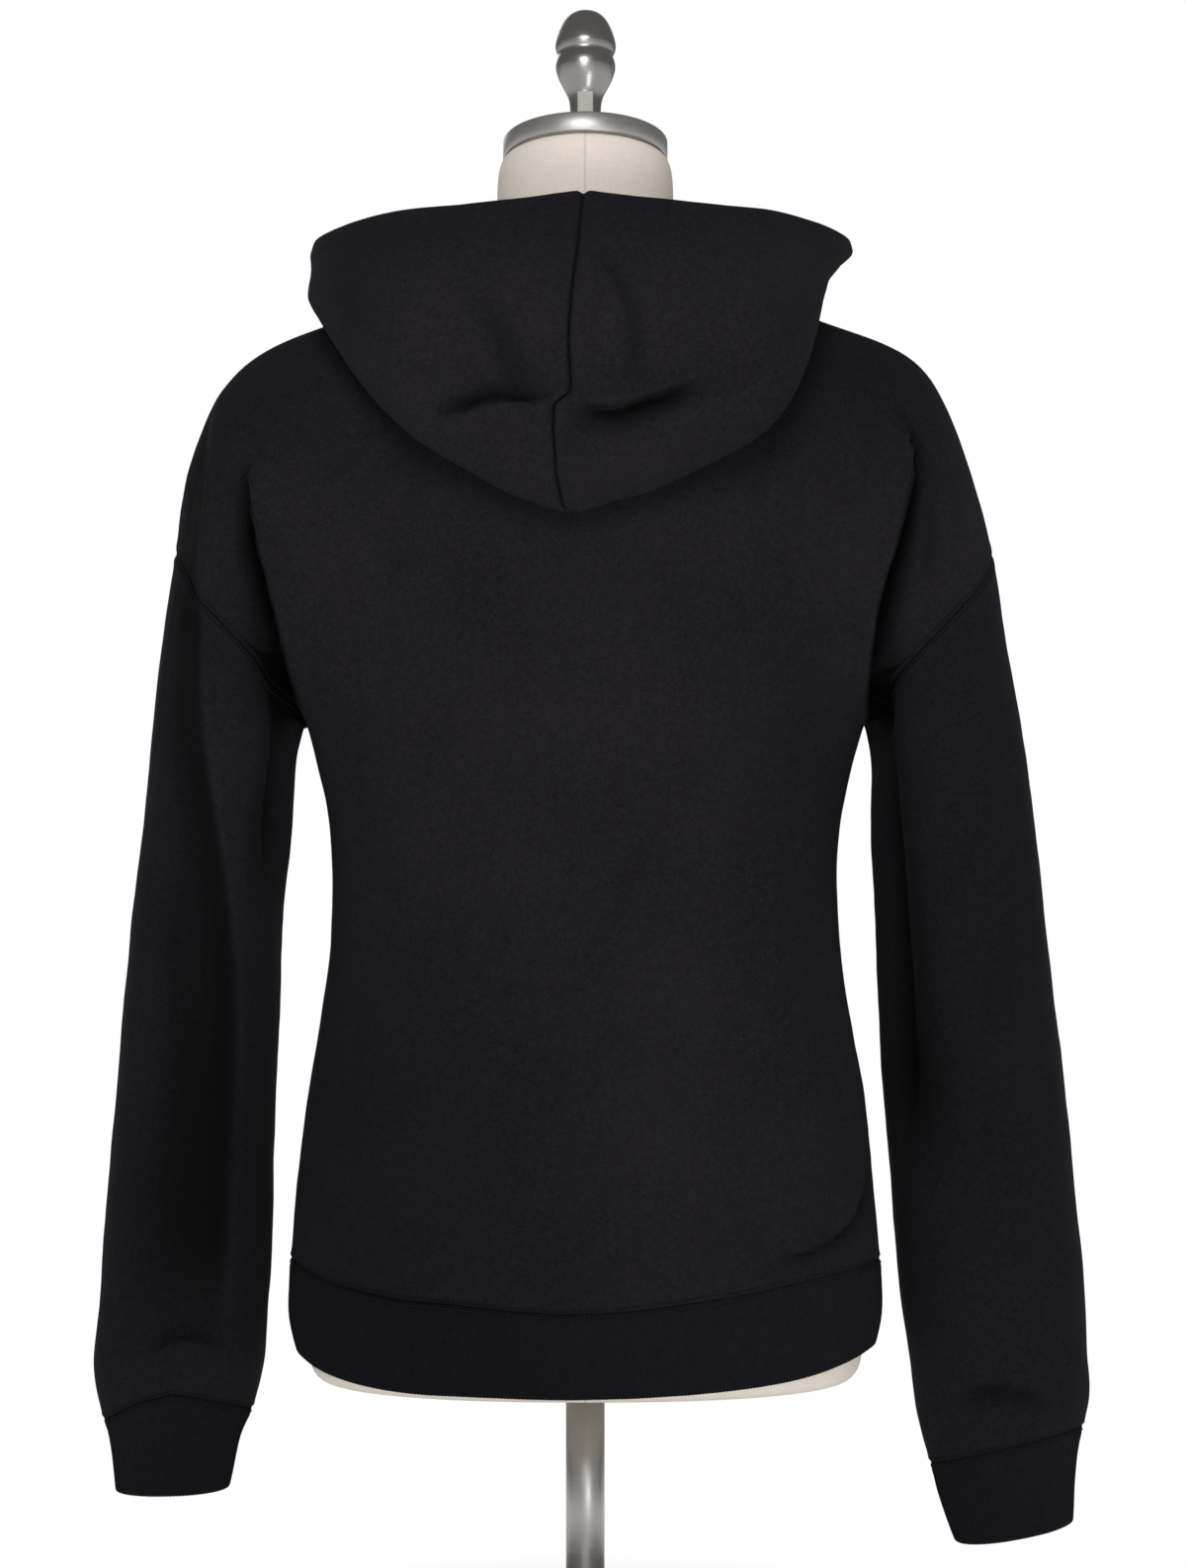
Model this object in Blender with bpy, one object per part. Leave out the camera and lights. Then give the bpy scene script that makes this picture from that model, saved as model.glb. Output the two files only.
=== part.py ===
"""Hooded pullover of heavy cotton fleece, filled out on a limbless dress form with a short stand.

Metres, +Z up. The chest faces -Y, the wearer's left is +X, and the origin is at the floor, in the
middle of the stand's base. Each cut piece of the garment is a thin wall: its outer face is worked
out from the tables below, and its inner face lies one wall thickness inside. Neighbouring pieces
share their seam's points, and each one is trimmed back by half the seam gap.
"""

import math

import bmesh
import bpy
import numpy as np

# ---------------------------------------------------------------- driving dimensions
FLEECE_WALL = 0.0022
RIB_WALL = 0.0026
SEAM_GAP = 0.0003

PANEL_COLUMNS = 24  # across the back, and across the front
LOWER_ROWS = 12  # from the hem seam up to the underarm
UPPER_ROWS = 9  # from the underarm up to the shoulder seam
SHOULDER_COLUMNS = 6  # of each panel's columns, those that end in one shoulder seam
SLEEVE_ROWS = 21
CUFF_ROWS = 3
HEM_ROWS = 3
HOOD_ROWS_PER_KNOT = 2

HEM_SEAM_HEIGHT = 0.283
UNDERARM_HEIGHT = 0.632
HEM_EDGE_HEIGHT = 0.2275

# How much lower the hem lies round the back, from the left side seam (1) to the right one (-1).
HEM_DIP = [
    # across, edge, seam
    (-1.00, -0.0045, -0.0020),
    (-0.88, 0.0010, 0.0000),
    (-0.70, 0.0085, 0.0025),
    (-0.37, 0.0135, 0.0080),
    (0.00, 0.0170, 0.0135),
    (0.35, 0.0160, 0.0110),
    (0.70, 0.0135, 0.0090),
    (0.86, 0.0085, 0.0055),
    (1.00, 0.0000, -0.0030),
]

NECK_SIDE = (0.085, 0.0, 0.9145)  # where the shoulder seam meets the neckline
BACK_NECK = (0.0, 0.064, 0.9045)
FRONT_NECK = (0.0, -0.088, 0.846)

# Rings of the garment's trunk. Back and front are how far it reaches from its side seams' plane.
TRUNK = [
    # height, half_width, back, front, squareness
    (0.2120, 0.1800, 0.1060, 0.1100, 2.35),
    (0.2275, 0.1860, 0.1110, 0.1140, 2.35),
    (0.2450, 0.1905, 0.1150, 0.1170, 2.35),
    (0.2830, 0.1900, 0.1175, 0.1190, 2.30),
    (0.3200, 0.1872, 0.1190, 0.1185, 2.30),
    (0.3600, 0.1837, 0.1180, 0.1165, 2.30),
    (0.4000, 0.1776, 0.1140, 0.1120, 2.25),
    (0.4400, 0.1702, 0.1080, 0.1075, 2.25),
    (0.4800, 0.1648, 0.1020, 0.1050, 2.20),
    (0.5200, 0.1628, 0.0970, 0.1070, 2.20),
    (0.5600, 0.1640, 0.0950, 0.1150, 2.20),
    (0.6000, 0.1698, 0.0960, 0.1260, 2.15),
    (0.6320, 0.1775, 0.0985, 0.1340, 2.15),
]

# The ridge of each shoulder, from the dropped shoulder point up to the neckline.
SHOULDER_RIDGE = [
    # height, out_left, out_right
    (0.7400, 0.2650, 0.2625),
    (0.7790, 0.2605, 0.2530),
    (0.8110, 0.2509, 0.2420),
    (0.8300, 0.2438, 0.2350),
    (0.8430, 0.2394, 0.2300),
    (0.8557, 0.2317, 0.2240),
    (0.8685, 0.2118, 0.2080),
    (0.8813, 0.1850, 0.1790),
    (0.9145, 0.0850, 0.0850),
]

# How a panel's columns leave the underarm level and arrive at the shoulder seam, as handles of a
# Bezier curve. The armhole seam is a panel's outermost column.
HANDLES = [
    # share from the side to the centre, rise_out, rise_back, rise_up, arrive_out, arrive_back,
    # arrive_up
    (0.00, 0.022, 0.075, 0.040, 0.000, 0.080, -0.022),
    (0.20, 0.014, 0.058, 0.052, 0.000, 0.092, -0.022),
    (0.45, 0.004, 0.030, 0.085, 0.000, 0.096, -0.020),
    (0.62, 0.000, 0.016, 0.100, 0.000, 0.082, -0.024),
    (0.80, 0.000, 0.013, 0.103, 0.000, 0.052, -0.028),
    (1.00, 0.000, 0.012, 0.105, 0.000, 0.040, -0.030),
]
FRONT_CHEST_LIFT = 1.15  # the front's handles reach this much further than the back's

# Rings of the sleeves, from just under the armhole seam to the cuff seam. The inner edge faces
# the trunk, and the outer edge makes the outline.
LEFT_SLEEVE = [
    # inner, inner_height, outer, outer_height, half_depth, centre_y, back_rise
    (0.1875, 0.6080, 0.2715, 0.6960, 0.0740, 0.000, 0.000),
    (0.1905, 0.5613, 0.2790, 0.6350, 0.0715, -0.001, 0.000),
    (0.1960, 0.5101, 0.2870, 0.5640, 0.0690, -0.004, 0.000),
    (0.1985, 0.4589, 0.2955, 0.4900, 0.0665, -0.008, 0.000),
    (0.2010, 0.4077, 0.3025, 0.4220, 0.0640, -0.012, 0.000),
    (0.2030, 0.3565, 0.3085, 0.3620, 0.0610, -0.016, 0.000),
    (0.2045, 0.3053, 0.3135, 0.3070, 0.0580, -0.019, 0.000),
    (0.2065, 0.2580, 0.3165, 0.2600, 0.0540, -0.021, 0.000),
    (0.2090, 0.2230, 0.3175, 0.2230, 0.0500, -0.022, 0.002),
    (0.2120, 0.1985, 0.3190, 0.1965, 0.0440, -0.022, 0.006),
    (0.2175, 0.1825, 0.3145, 0.1820, 0.0385, -0.022, 0.010),
]
RIGHT_SLEEVE = [
    # inner, inner_height, outer, outer_height, half_depth, centre_y, back_rise
    (0.1855, 0.6080, 0.2700, 0.6880, 0.0740, 0.000, 0.000),
    (0.1850, 0.5613, 0.2820, 0.6220, 0.0715, -0.001, 0.000),
    (0.1880, 0.5101, 0.2920, 0.5520, 0.0690, -0.004, 0.000),
    (0.1900, 0.4589, 0.3000, 0.4800, 0.0665, -0.008, 0.000),
    (0.1925, 0.4077, 0.3095, 0.4140, 0.0640, -0.012, 0.000),
    (0.1970, 0.3565, 0.3162, 0.3560, 0.0610, -0.016, 0.000),
    (0.2020, 0.3053, 0.3210, 0.3020, 0.0580, -0.019, 0.000),
    (0.2080, 0.2450, 0.3250, 0.2480, 0.0550, -0.021, 0.000),
    (0.2145, 0.1980, 0.3285, 0.2050, 0.0510, -0.022, 0.001),
    (0.2195, 0.1620, 0.3290, 0.1830, 0.0450, -0.022, 0.003),
    (0.2255, 0.1470, 0.3255, 0.1725, 0.0385, -0.022, 0.005),
]
# Rings of the cuffs, from the cuff seam down to the hand opening.
LEFT_CUFF = [
    # inner, inner_height, outer, outer_height, half_depth, centre_y, back_rise
    (0.2175, 0.1825, 0.3145, 0.1820, 0.0385, -0.022, 0.010),
    (0.2240, 0.1680, 0.3115, 0.1675, 0.0350, -0.022, 0.006),
    (0.2285, 0.1490, 0.3090, 0.1485, 0.0325, -0.022, 0.002),
    (0.2325, 0.1320, 0.3070, 0.1305, 0.0320, -0.022, 0.000),
]
RIGHT_CUFF = [
    # inner, inner_height, outer, outer_height, half_depth, centre_y, back_rise
    (0.2255, 0.1470, 0.3255, 0.1725, 0.0385, -0.022, 0.005),
    (0.2290, 0.1320, 0.3220, 0.1530, 0.0350, -0.022, 0.003),
    (0.2345, 0.1140, 0.3200, 0.1320, 0.0325, -0.022, 0.001),
    (0.2410, 0.0965, 0.3190, 0.1110, 0.0320, -0.022, 0.000),
]
SLEEVE_SQUARENESS = 2.2

# Sections of the hood's left half, from the centre back seam round to the centre front. Each runs
# from the neck seam over a low stand, down to the bottom fold, and up the outside to the rim.
HOOD_STATIONS = [
    # share of the neckline, then (out, back, height) of each knot of the section
    (0.00, [(0.000, 0.074, 0.921), (0.000, 0.103, 0.899), (0.000, 0.109, 0.830),
            (0.000, 0.110, 0.775), (0.000, 0.124, 0.757), (0.000, 0.143, 0.776),
            (0.000, 0.155, 0.806), (0.000, 0.148, 0.837), (0.000, 0.156, 0.870),
            (0.000, 0.148, 0.915), (0.000, 0.124, 0.953)]),
    (0.22, [(0.046, 0.065, 0.927), (0.053, 0.098, 0.905), (0.056, 0.107, 0.846),
            (0.056, 0.109, 0.797), (0.058, 0.122, 0.776), (0.062, 0.140, 0.794),
            (0.066, 0.150, 0.820), (0.069, 0.144, 0.849), (0.071, 0.149, 0.879),
            (0.073, 0.140, 0.917), (0.071, 0.117, 0.947)]),
    (0.40, [(0.080, 0.042, 0.932), (0.094, 0.072, 0.921), (0.108, 0.090, 0.884),
            (0.115, 0.101, 0.843), (0.122, 0.111, 0.820), (0.131, 0.120, 0.834),
            (0.136, 0.120, 0.853), (0.139, 0.114, 0.875), (0.141, 0.109, 0.898),
            (0.139, 0.097, 0.923), (0.132, 0.082, 0.945)]),
    (0.52, [(0.090, 0.003, 0.936), (0.112, 0.014, 0.934), (0.135, 0.024, 0.918),
            (0.154, 0.030, 0.904), (0.169, 0.033, 0.893), (0.178, 0.034, 0.899),
            (0.180, 0.032, 0.907), (0.181, 0.029, 0.914), (0.181, 0.026, 0.921),
            (0.180, 0.022, 0.929), (0.176, 0.016, 0.937)]),
    (0.66, [(0.080, -0.046, 0.912), (0.097, -0.052, 0.914), (0.115, -0.056, 0.906),
            (0.131, -0.060, 0.893), (0.144, -0.062, 0.883), (0.154, -0.063, 0.885),
            (0.159, -0.061, 0.892), (0.160, -0.058, 0.900), (0.158, -0.055, 0.908),
            (0.153, -0.051, 0.916), (0.145, -0.047, 0.923)]),
    (0.85, [(0.042, -0.085, 0.876), (0.053, -0.091, 0.880), (0.064, -0.096, 0.878),
            (0.074, -0.101, 0.872), (0.083, -0.107, 0.866), (0.092, -0.112, 0.867),
            (0.097, -0.112, 0.873), (0.098, -0.109, 0.880), (0.097, -0.105, 0.887),
            (0.093, -0.101, 0.893), (0.088, -0.097, 0.900)]),
    (0.93, [(0.020, -0.091, 0.858), (0.025, -0.097, 0.864), (0.031, -0.102, 0.868),
            (0.037, -0.106, 0.870), (0.043, -0.109, 0.872), (0.048, -0.110, 0.876),
            (0.051, -0.110, 0.881), (0.052, -0.109, 0.886), (0.052, -0.107, 0.891),
            (0.051, -0.104, 0.896), (0.049, -0.101, 0.901)]),
    (1.00, [(0.002, -0.093, 0.854), (0.004, -0.098, 0.862), (0.006, -0.102, 0.870),
            (0.008, -0.105, 0.877), (0.010, -0.1065, 0.882), (0.012, -0.107, 0.886),
            (0.013, -0.107, 0.889), (0.014, -0.1065, 0.892), (0.015, -0.1055, 0.8945),
            (0.016, -0.104, 0.897), (0.017, -0.102, 0.899)]),
]

# How far out the hood's sides lie, as shares of the stations' reach.
HOOD_WIDTH = [
    # height, share_left, share_right
    (0.780, 1.000, 1.000),
    (0.840, 1.000, 0.965),
    (0.870, 1.000, 0.905),
    (0.885, 1.000, 0.872),
    (0.900, 0.990, 0.868),
    (0.915, 0.970, 0.895),
    (0.930, 0.985, 0.965),
    (0.950, 1.020, 1.000),
]
HOOD_SIDE_FROM, HOOD_SIDE_FULL = 0.09, 0.15  # how far out those shares start and hold in full
SHOULDER_SLOPE = 0.33

# The largest folds, as soft swellings (or hollows, below zero) of a piece's face.
FOLDS = [
    # piece, row_share, column_share, row_reach, column_reach, slant, lift
    ("sleeve_left", 0.35, 0.36, 0.34, 0.050, 0.00, 0.0045),
    ("sleeve_left", 0.12, 0.17, 0.09, 0.070, 0.00, -0.0070),
    ("sleeve_left", 0.88, 0.24, 0.05, 0.160, 0.10, -0.0040),
    ("sleeve_left", 0.93, 0.52, 0.04, 0.140, 0.00, 0.0040),
    ("sleeve_right", 0.35, 0.36, 0.34, 0.050, 0.00, 0.0045),
    ("sleeve_right", 0.12, 0.17, 0.09, 0.070, 0.00, -0.0070),
    ("sleeve_right", 0.90, 0.20, 0.05, 0.120, 0.08, -0.0065),
    ("sleeve_right", 0.82, 0.30, 0.05, 0.160, -0.10, 0.0040),
    ("hood_left", 0.60, 0.10, 0.05, 0.120, 0.50, -0.0050),
    ("hood_left", 0.70, 0.16, 0.06, 0.090, 0.90, 0.0040),
    ("hood_right", 0.62, 0.12, 0.05, 0.140, 0.35, -0.0060),
    ("hood_right", 0.72, 0.10, 0.05, 0.070, 0.60, 0.0045),
]
FOLD_FADE = 0.06  # share of a face, from each edge, over which the folds die away

# Rings of the dress form, from its open-bottom line up to the neck.
FORM = [
    # height, half_width, back, front, centre_y, squareness
    (0.2060, 0.1580, 0.0840, 0.0880, 0.000, 2.3),
    (0.2085, 0.1700, 0.0960, 0.1000, 0.000, 2.3),
    (0.2150, 0.1760, 0.1010, 0.1040, 0.000, 2.3),
    (0.2300, 0.1795, 0.1045, 0.1070, 0.000, 2.3),
    (0.2830, 0.1820, 0.1085, 0.1100, 0.000, 2.3),
    (0.3400, 0.1780, 0.1090, 0.1080, 0.000, 2.3),
    (0.4000, 0.1690, 0.1040, 0.1020, 0.000, 2.25),
    (0.4600, 0.1580, 0.0960, 0.0960, 0.000, 2.2),
    (0.5200, 0.1540, 0.0885, 0.0970, 0.000, 2.2),
    (0.5700, 0.1560, 0.0870, 0.1080, 0.000, 2.2),
    (0.6200, 0.1620, 0.0895, 0.1210, 0.000, 2.15),
    (0.6600, 0.1640, 0.0910, 0.1220, 0.000, 2.15),
    (0.7100, 0.1660, 0.0920, 0.1110, 0.000, 2.2),
    (0.7600, 0.1690, 0.0880, 0.0930, 0.000, 2.15),
    (0.8100, 0.1700, 0.0800, 0.0770, 0.000, 2.1),
    (0.8400, 0.1650, 0.0700, 0.0640, 0.000, 2.0),
    (0.8600, 0.1500, 0.0620, 0.0560, 0.000, 2.0),
    (0.8760, 0.1270, 0.0560, 0.0520, 0.000, 2.0),
    (0.8890, 0.1010, 0.0530, 0.0510, 0.000, 2.0),
    (0.9020, 0.0780, 0.0520, 0.0515, -0.001, 2.0),
    (0.9180, 0.0645, 0.0530, 0.0525, -0.003, 2.0),
    (0.9450, 0.0580, 0.0520, 0.0520, -0.006, 2.0),
    (0.9770, 0.0572, 0.0520, 0.0520, -0.009, 2.0),
    (0.9915, 0.0550, 0.0505, 0.0505, -0.010, 2.0),
    (0.9955, 0.0520, 0.0480, 0.0480, -0.010, 2.0),
]
FORM_COLUMNS = 24
FORM_ROWS = 26
NECK_TILT = math.radians(11)  # the neck's top leans towards the chest
NECK_TILT_START = 0.93
NECK_TOP = (0.0, -0.010, 0.9955)

NECK_RING_RADIUS = 0.0535
NECK_RING_HEIGHT = 0.0135
NECK_RING_WALL = 0.0025
NECK_PLATE_DROP = 0.001
# The knob's turned outline.
KNOB = [
    # radius, height
    (0.0103, 0.0000),
    (0.0103, 0.0255),
    (0.0107, 0.0285),
    (0.0118, 0.0324),
    (0.0142, 0.0374),
    (0.0167, 0.0424),
    (0.0186, 0.0473),
    (0.0195, 0.0508),
    (0.0196, 0.0535),
    (0.0190, 0.0565),
    (0.0181, 0.0598),
    (0.0192, 0.0630),
    (0.0199, 0.0655),
    (0.0198, 0.0688),
    (0.0190, 0.0723),
    (0.0167, 0.0789),
    (0.0141, 0.0839),
    (0.0113, 0.0872),
    (0.0071, 0.0897),
]
KNOB_TOP = 0.0905
TURNED_SEGMENTS = 24
KEY_SIZE = (0.0102, 0.0020, 0.0150)  # the tongue that locks the knob, across, through and up
KEY_FOOT, KEY_OUT = 0.0157, 0.0114  # its foot, and its inner face's distance from the axis

POLE_RADIUS = 0.0125
POLE_SEGMENTS = 20
BASE_RADIUS = 0.190
BASE_SEGMENTS = 36
# The base's turned outline, from the middle of its top out and down to the floor.
BASE = [
    # radius, height
    (0.026, 0.034),
    (0.030, 0.030),
    (0.032, 0.018),
    (0.100, 0.0145),
    (0.182, 0.0120),
    (0.188, 0.0100),
    (BASE_RADIUS, 0.0070),
    (BASE_RADIUS, 0.0015),
    (0.1885, 0.0000),
]

MATERIALS = {
    # name: colour, roughness, metallic
    "fleece": ((0.011, 0.010, 0.012, 1.0), 0.88, 0.0),
    "rib_knit": ((0.012, 0.011, 0.013, 1.0), 0.86, 0.0),
    "form_cloth": ((0.73, 0.67, 0.58, 1.0), 0.80, 0.0),
    "brushed_steel": ((0.50, 0.49, 0.48, 1.0), 0.34, 1.0),
}


# ---------------------------------------------------------------- curves and rings
def smooth_through(knots, values, at):
    """Values at the places `at`, on a cubic curve through the values at the rising knots."""
    knots, values, at = (np.asarray(a, float) for a in (knots, values, at))
    steps = np.diff(knots)
    slopes = np.diff(values, axis=0) / steps[:, None]
    tangents = np.concatenate([slopes[:1], (slopes[1:] + slopes[:-1]) / 2, slopes[-1:]])
    i = np.clip(np.searchsorted(knots, at, side="right") - 1, 0, len(steps) - 1)
    h = steps[i][:, None]
    t = (at[:, None] - knots[i][:, None]) / h
    return (
        (2 * t**3 - 3 * t**2 + 1) * values[i]
        + (t**3 - 2 * t**2 + t) * h * tangents[i]
        + (3 * t**2 - 2 * t**3) * values[i + 1]
        + (t**3 - t**2) * h * tangents[i + 1]
    )


def lengths_along(points):
    """How far along a line of points each one is, from 0 to 1."""
    run = np.concatenate([[0], np.cumsum(np.linalg.norm(np.diff(points, axis=0), axis=1))])
    return run / run[-1]


def table_rows(table, heights):
    """A table's other columns at the given heights, which are its first column."""
    table = np.array(table, float)
    return smooth_through(table[:, 0], table[:, 1:], heights)


def rounded_square(angle, power):
    """Cosine and sine of an angle, pulled out towards a square as the power passes 2."""
    c, s = np.cos(angle), np.sin(angle)
    return np.sign(c) * np.abs(c) ** (2 / power), np.sign(s) * np.abs(s) ** (2 / power)


def bezier(start, first, second, end, t):
    t = t[:, None]
    return (
        (1 - t) ** 3 * start
        + 3 * (1 - t) ** 2 * t * first
        + 3 * (1 - t) * t**2 * second
        + t**3 * end
    )


# ---------------------------------------------------------------- outer faces of the cloth
def trunk_point(angle, height, front):
    """A point of the trunk's ring: angle 0 is the left side seam and pi the right one."""
    half_width, back_reach, front_reach, power = table_rows(TRUNK, [height])[0]
    across, through = rounded_square(angle, power)
    reach = -front_reach if front else back_reach
    return np.array([half_width * across, reach * through, height])


def hem_dip(angle, front, share=1.0):
    """How far the hem hangs below its height, from its edge (share 0) up to its seam (share 1)."""
    table = np.array(HEM_DIP)
    across = math.cos(angle)
    if front:
        edge, seam = table[-1 if across > 0 else 0, 1:] * across**2
    else:
        edge, seam = smooth_through(table[:, 0], table[:, 1:], [across])[0]
    return edge + (seam - edge) * share


def shoulder_point(share, left):
    """A point of the shoulder seam, from the dropped shoulder point at 0 to the neckline at 1."""
    rows = np.array(SHOULDER_RIDGE)
    ridge = np.stack([rows[:, 1 if left else 2], 0 * rows[:, 0], rows[:, 0]], axis=1)
    point = smooth_through(lengths_along(ridge), ridge, [share])[0]
    return point * [1 if left else -1, 1, 1]


def neck_point(share, front):
    """A point of the neckline, from the left shoulder seam at 0 to the right one at 1."""
    lowest = np.array(FRONT_NECK if front else BACK_NECK)
    angle = math.pi * share
    side = np.array(NECK_SIDE)
    out, through = math.cos(angle), math.sin(angle)
    drop = through ** (1.5 if front else 1.2)
    return np.array([side[0] * out, lowest[1] * through, side[2] + (lowest[2] - side[2]) * drop])


def top_point(column, front):
    """Where a panel's column ends: in a shoulder seam or in the neckline."""
    from_side = min(column, PANEL_COLUMNS - column)
    if from_side <= SHOULDER_COLUMNS:
        return shoulder_point(from_side / SHOULDER_COLUMNS, column * 2 < PANEL_COLUMNS)
    neck_columns = PANEL_COLUMNS - 2 * SHOULDER_COLUMNS
    return neck_point((column - SHOULDER_COLUMNS) / neck_columns, front)


def panel_face(front):
    """The outer face of the back or the front, rows from the hem seam up, columns left to right."""
    back = -1 if front else 1
    rows = []
    angles = np.pi * np.arange(PANEL_COLUMNS + 1) / PANEL_COLUMNS
    for i in range(LOWER_ROWS + 1):
        share = i / LOWER_ROWS
        row = []
        for angle in angles:
            low = HEM_SEAM_HEIGHT - hem_dip(angle, front)
            row.append(trunk_point(angle, low + (UNDERARM_HEIGHT - low) * share, front))
        rows.append(row)
    face = np.zeros((LOWER_ROWS + UPPER_ROWS + 1, PANEL_COLUMNS + 1, 3))
    face[: LOWER_ROWS + 1] = rows
    for column, angle in enumerate(angles):
        from_side = min(column, PANEL_COLUMNS - column) / (PANEL_COLUMNS / 2)
        handle = table_rows(HANDLES, [from_side])[0]
        out = 1 if column * 2 < PANEL_COLUMNS else -1
        turn = np.array([out, back * (FRONT_CHEST_LIFT if front else 1), 1])
        start, end = face[LOWER_ROWS, column], top_point(column, front)
        steps = np.linspace(0, 1, UPPER_ROWS + 1)
        face[LOWER_ROWS:, column] = bezier(
            start, start + handle[:3] * turn, end + handle[3:] * turn, end, steps
        )
    return face


def ring_from_row(row, count, out):
    """A closed ring of a sleeve or cuff, from its inner edge round its back, outer edge and front."""
    inner, inner_height, outer, outer_height, half_depth, centre_y, back_rise = row
    angle = 2 * np.pi * np.arange(count) / count
    across, through = rounded_square(angle, SLEEVE_SQUARENESS)
    share = (1 - across) / 2
    return np.stack(
        [
            out * (inner + (outer - inner) * share),
            centre_y + half_depth * through,
            inner_height + (outer_height - inner_height) * share
            + back_rise * np.clip(through, 0, None),
        ],
        axis=1,
    )


def armhole_ring(back, front, left):
    """The points of an armhole seam, from the underarm up the back and down the front."""
    column = 0 if left else PANEL_COLUMNS
    up_back = back[LOWER_ROWS:, column]
    down_front = front[LOWER_ROWS:, column][::-1]
    return np.concatenate([up_back, down_front[1:-1]])


def sleeve_face(table, first_ring, out):
    """A sleeve's outer face, rows from the armhole seam down to the cuff seam."""
    count = len(first_ring)
    rings = np.array([first_ring] + [ring_from_row(row, count, out) for row in table])
    knots = lengths_along(rings.mean(axis=1))
    flat = smooth_through(knots, rings.reshape(len(rings), -1), np.linspace(0, 1, SLEEVE_ROWS + 1))
    return flat.reshape(SLEEVE_ROWS + 1, count, 3)


def cuff_face(table, count, out):
    rings = np.array([ring_from_row(row, count, out) for row in table])
    knots = lengths_along(rings.mean(axis=1))
    flat = smooth_through(knots, rings.reshape(len(rings), -1), np.linspace(0, 1, CUFF_ROWS + 1))
    return flat.reshape(CUFF_ROWS + 1, count, 3)


def hem_face():
    """The hem band's outer face, rows from its edge up to the hem seam, right round the trunk."""
    ring = [(np.pi * i / PANEL_COLUMNS, False) for i in range(PANEL_COLUMNS)]
    ring += [(np.pi * (1 - i / PANEL_COLUMNS), True) for i in range(PANEL_COLUMNS)]
    rows = []
    for i in range(HEM_ROWS + 1):
        row = []
        for angle, front in ring:
            dip = hem_dip(angle, front, i / HEM_ROWS)
            height = HEM_EDGE_HEIGHT + (HEM_SEAM_HEIGHT - HEM_EDGE_HEIGHT) * i / HEM_ROWS
            row.append(trunk_point(angle, height - dip, front))
        rows.append(row)
    return np.array(rows)


def drawn_in(points, left):
    """The hood's points at the width its half has there, slid along the shoulder's slope."""
    table = np.array(HOOD_WIDTH)
    share = np.interp(points[:, :, 2], table[:, 0], table[:, 1 if left else 2])
    reach = (points[:, :, 0] - HOOD_SIDE_FROM) / (HOOD_SIDE_FULL - HOOD_SIDE_FROM)
    move = points[:, :, 0] * (share - 1) * np.clip(reach, 0, 1)
    return points + move[:, :, None] * np.array([1, 0, -SHOULDER_SLOPE])


def hood_face(back, front, left):
    """One half of the hood, rows from the neck seam to the rim, columns from back to front."""
    middle = PANEL_COLUMNS // 2
    edge = SHOULDER_COLUMNS if left else PANEL_COLUMNS - SHOULDER_COLUMNS
    step = -1 if left else 1
    along_back = back[-1, middle : edge + step : step]
    along_front = front[-1, edge : middle - step : -step]
    neckline = np.concatenate([along_back, along_front[1:]])
    count = len(neckline)
    shares = np.array([station[0] for station in HOOD_STATIONS])
    knots = np.array([station[1] for station in HOOD_STATIONS])
    smooth = smooth_through(
        shares, knots.reshape(len(shares), -1), np.linspace(0, 1, count)
    ).reshape(count, -1, 3)
    smooth = drawn_in(smooth, left) * [1 if left else -1, 1, 1]
    sections = np.concatenate([neckline[:, None], smooth], axis=1).transpose(1, 0, 2)
    knots_at = np.arange(len(sections))
    rows_at = np.arange((len(sections) - 1) * HOOD_ROWS_PER_KNOT + 1) / HOOD_ROWS_PER_KNOT
    face = smooth_through(knots_at, sections.reshape(len(sections), -1), rows_at)
    face = face.reshape(len(rows_at), count, 3)
    face[:, 0, 0] = 0.0
    return face


# ---------------------------------------------------------------- walls from faces
def cell_normals(face, closed, outward):
    """Each cell's direction, pointing away from the wearer's side of the cloth."""
    ahead = np.roll(face, -1, axis=1) if closed else face[:, 1:]
    here = face if closed else face[:, :-1]
    one, two = ahead[1:] - here[:-1], here[1:] - ahead[:-1]
    normals = outward * np.cross(one, two)
    return normals / np.linalg.norm(normals, axis=2, keepdims=True)


def shared_normals(pieces):
    """The direction of the wall at every point, the same for all the pieces that meet there."""
    total = {}

    def key(point):
        return tuple(np.round(point * 20000).astype(int))

    for face, closed, outward in pieces.values():
        normals = cell_normals(face, closed, outward)
        columns = face.shape[1]
        for i, j in np.ndindex(normals.shape[:2]):
            for a, b in ((0, 0), (0, 1), (1, 0), (1, 1)):
                point = face[i + a, (j + b) % columns]
                total[key(point)] = total.get(key(point), 0) + normals[i, j]
    for column in (0, PANEL_COLUMNS):
        underarm = pieces["back_panel"][0][LOWER_ROWS, column]
        total[key(underarm)] = np.array([0.0, 0.0, -1.0])
    made = {}
    for name, (face, _, _) in pieces.items():
        made[name] = np.zeros_like(face)
        for i, j in np.ndindex(face.shape[:2]):
            normal = total[key(face[i, j])]
            made[name][i, j] = normal / np.linalg.norm(normal)
    return made


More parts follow.
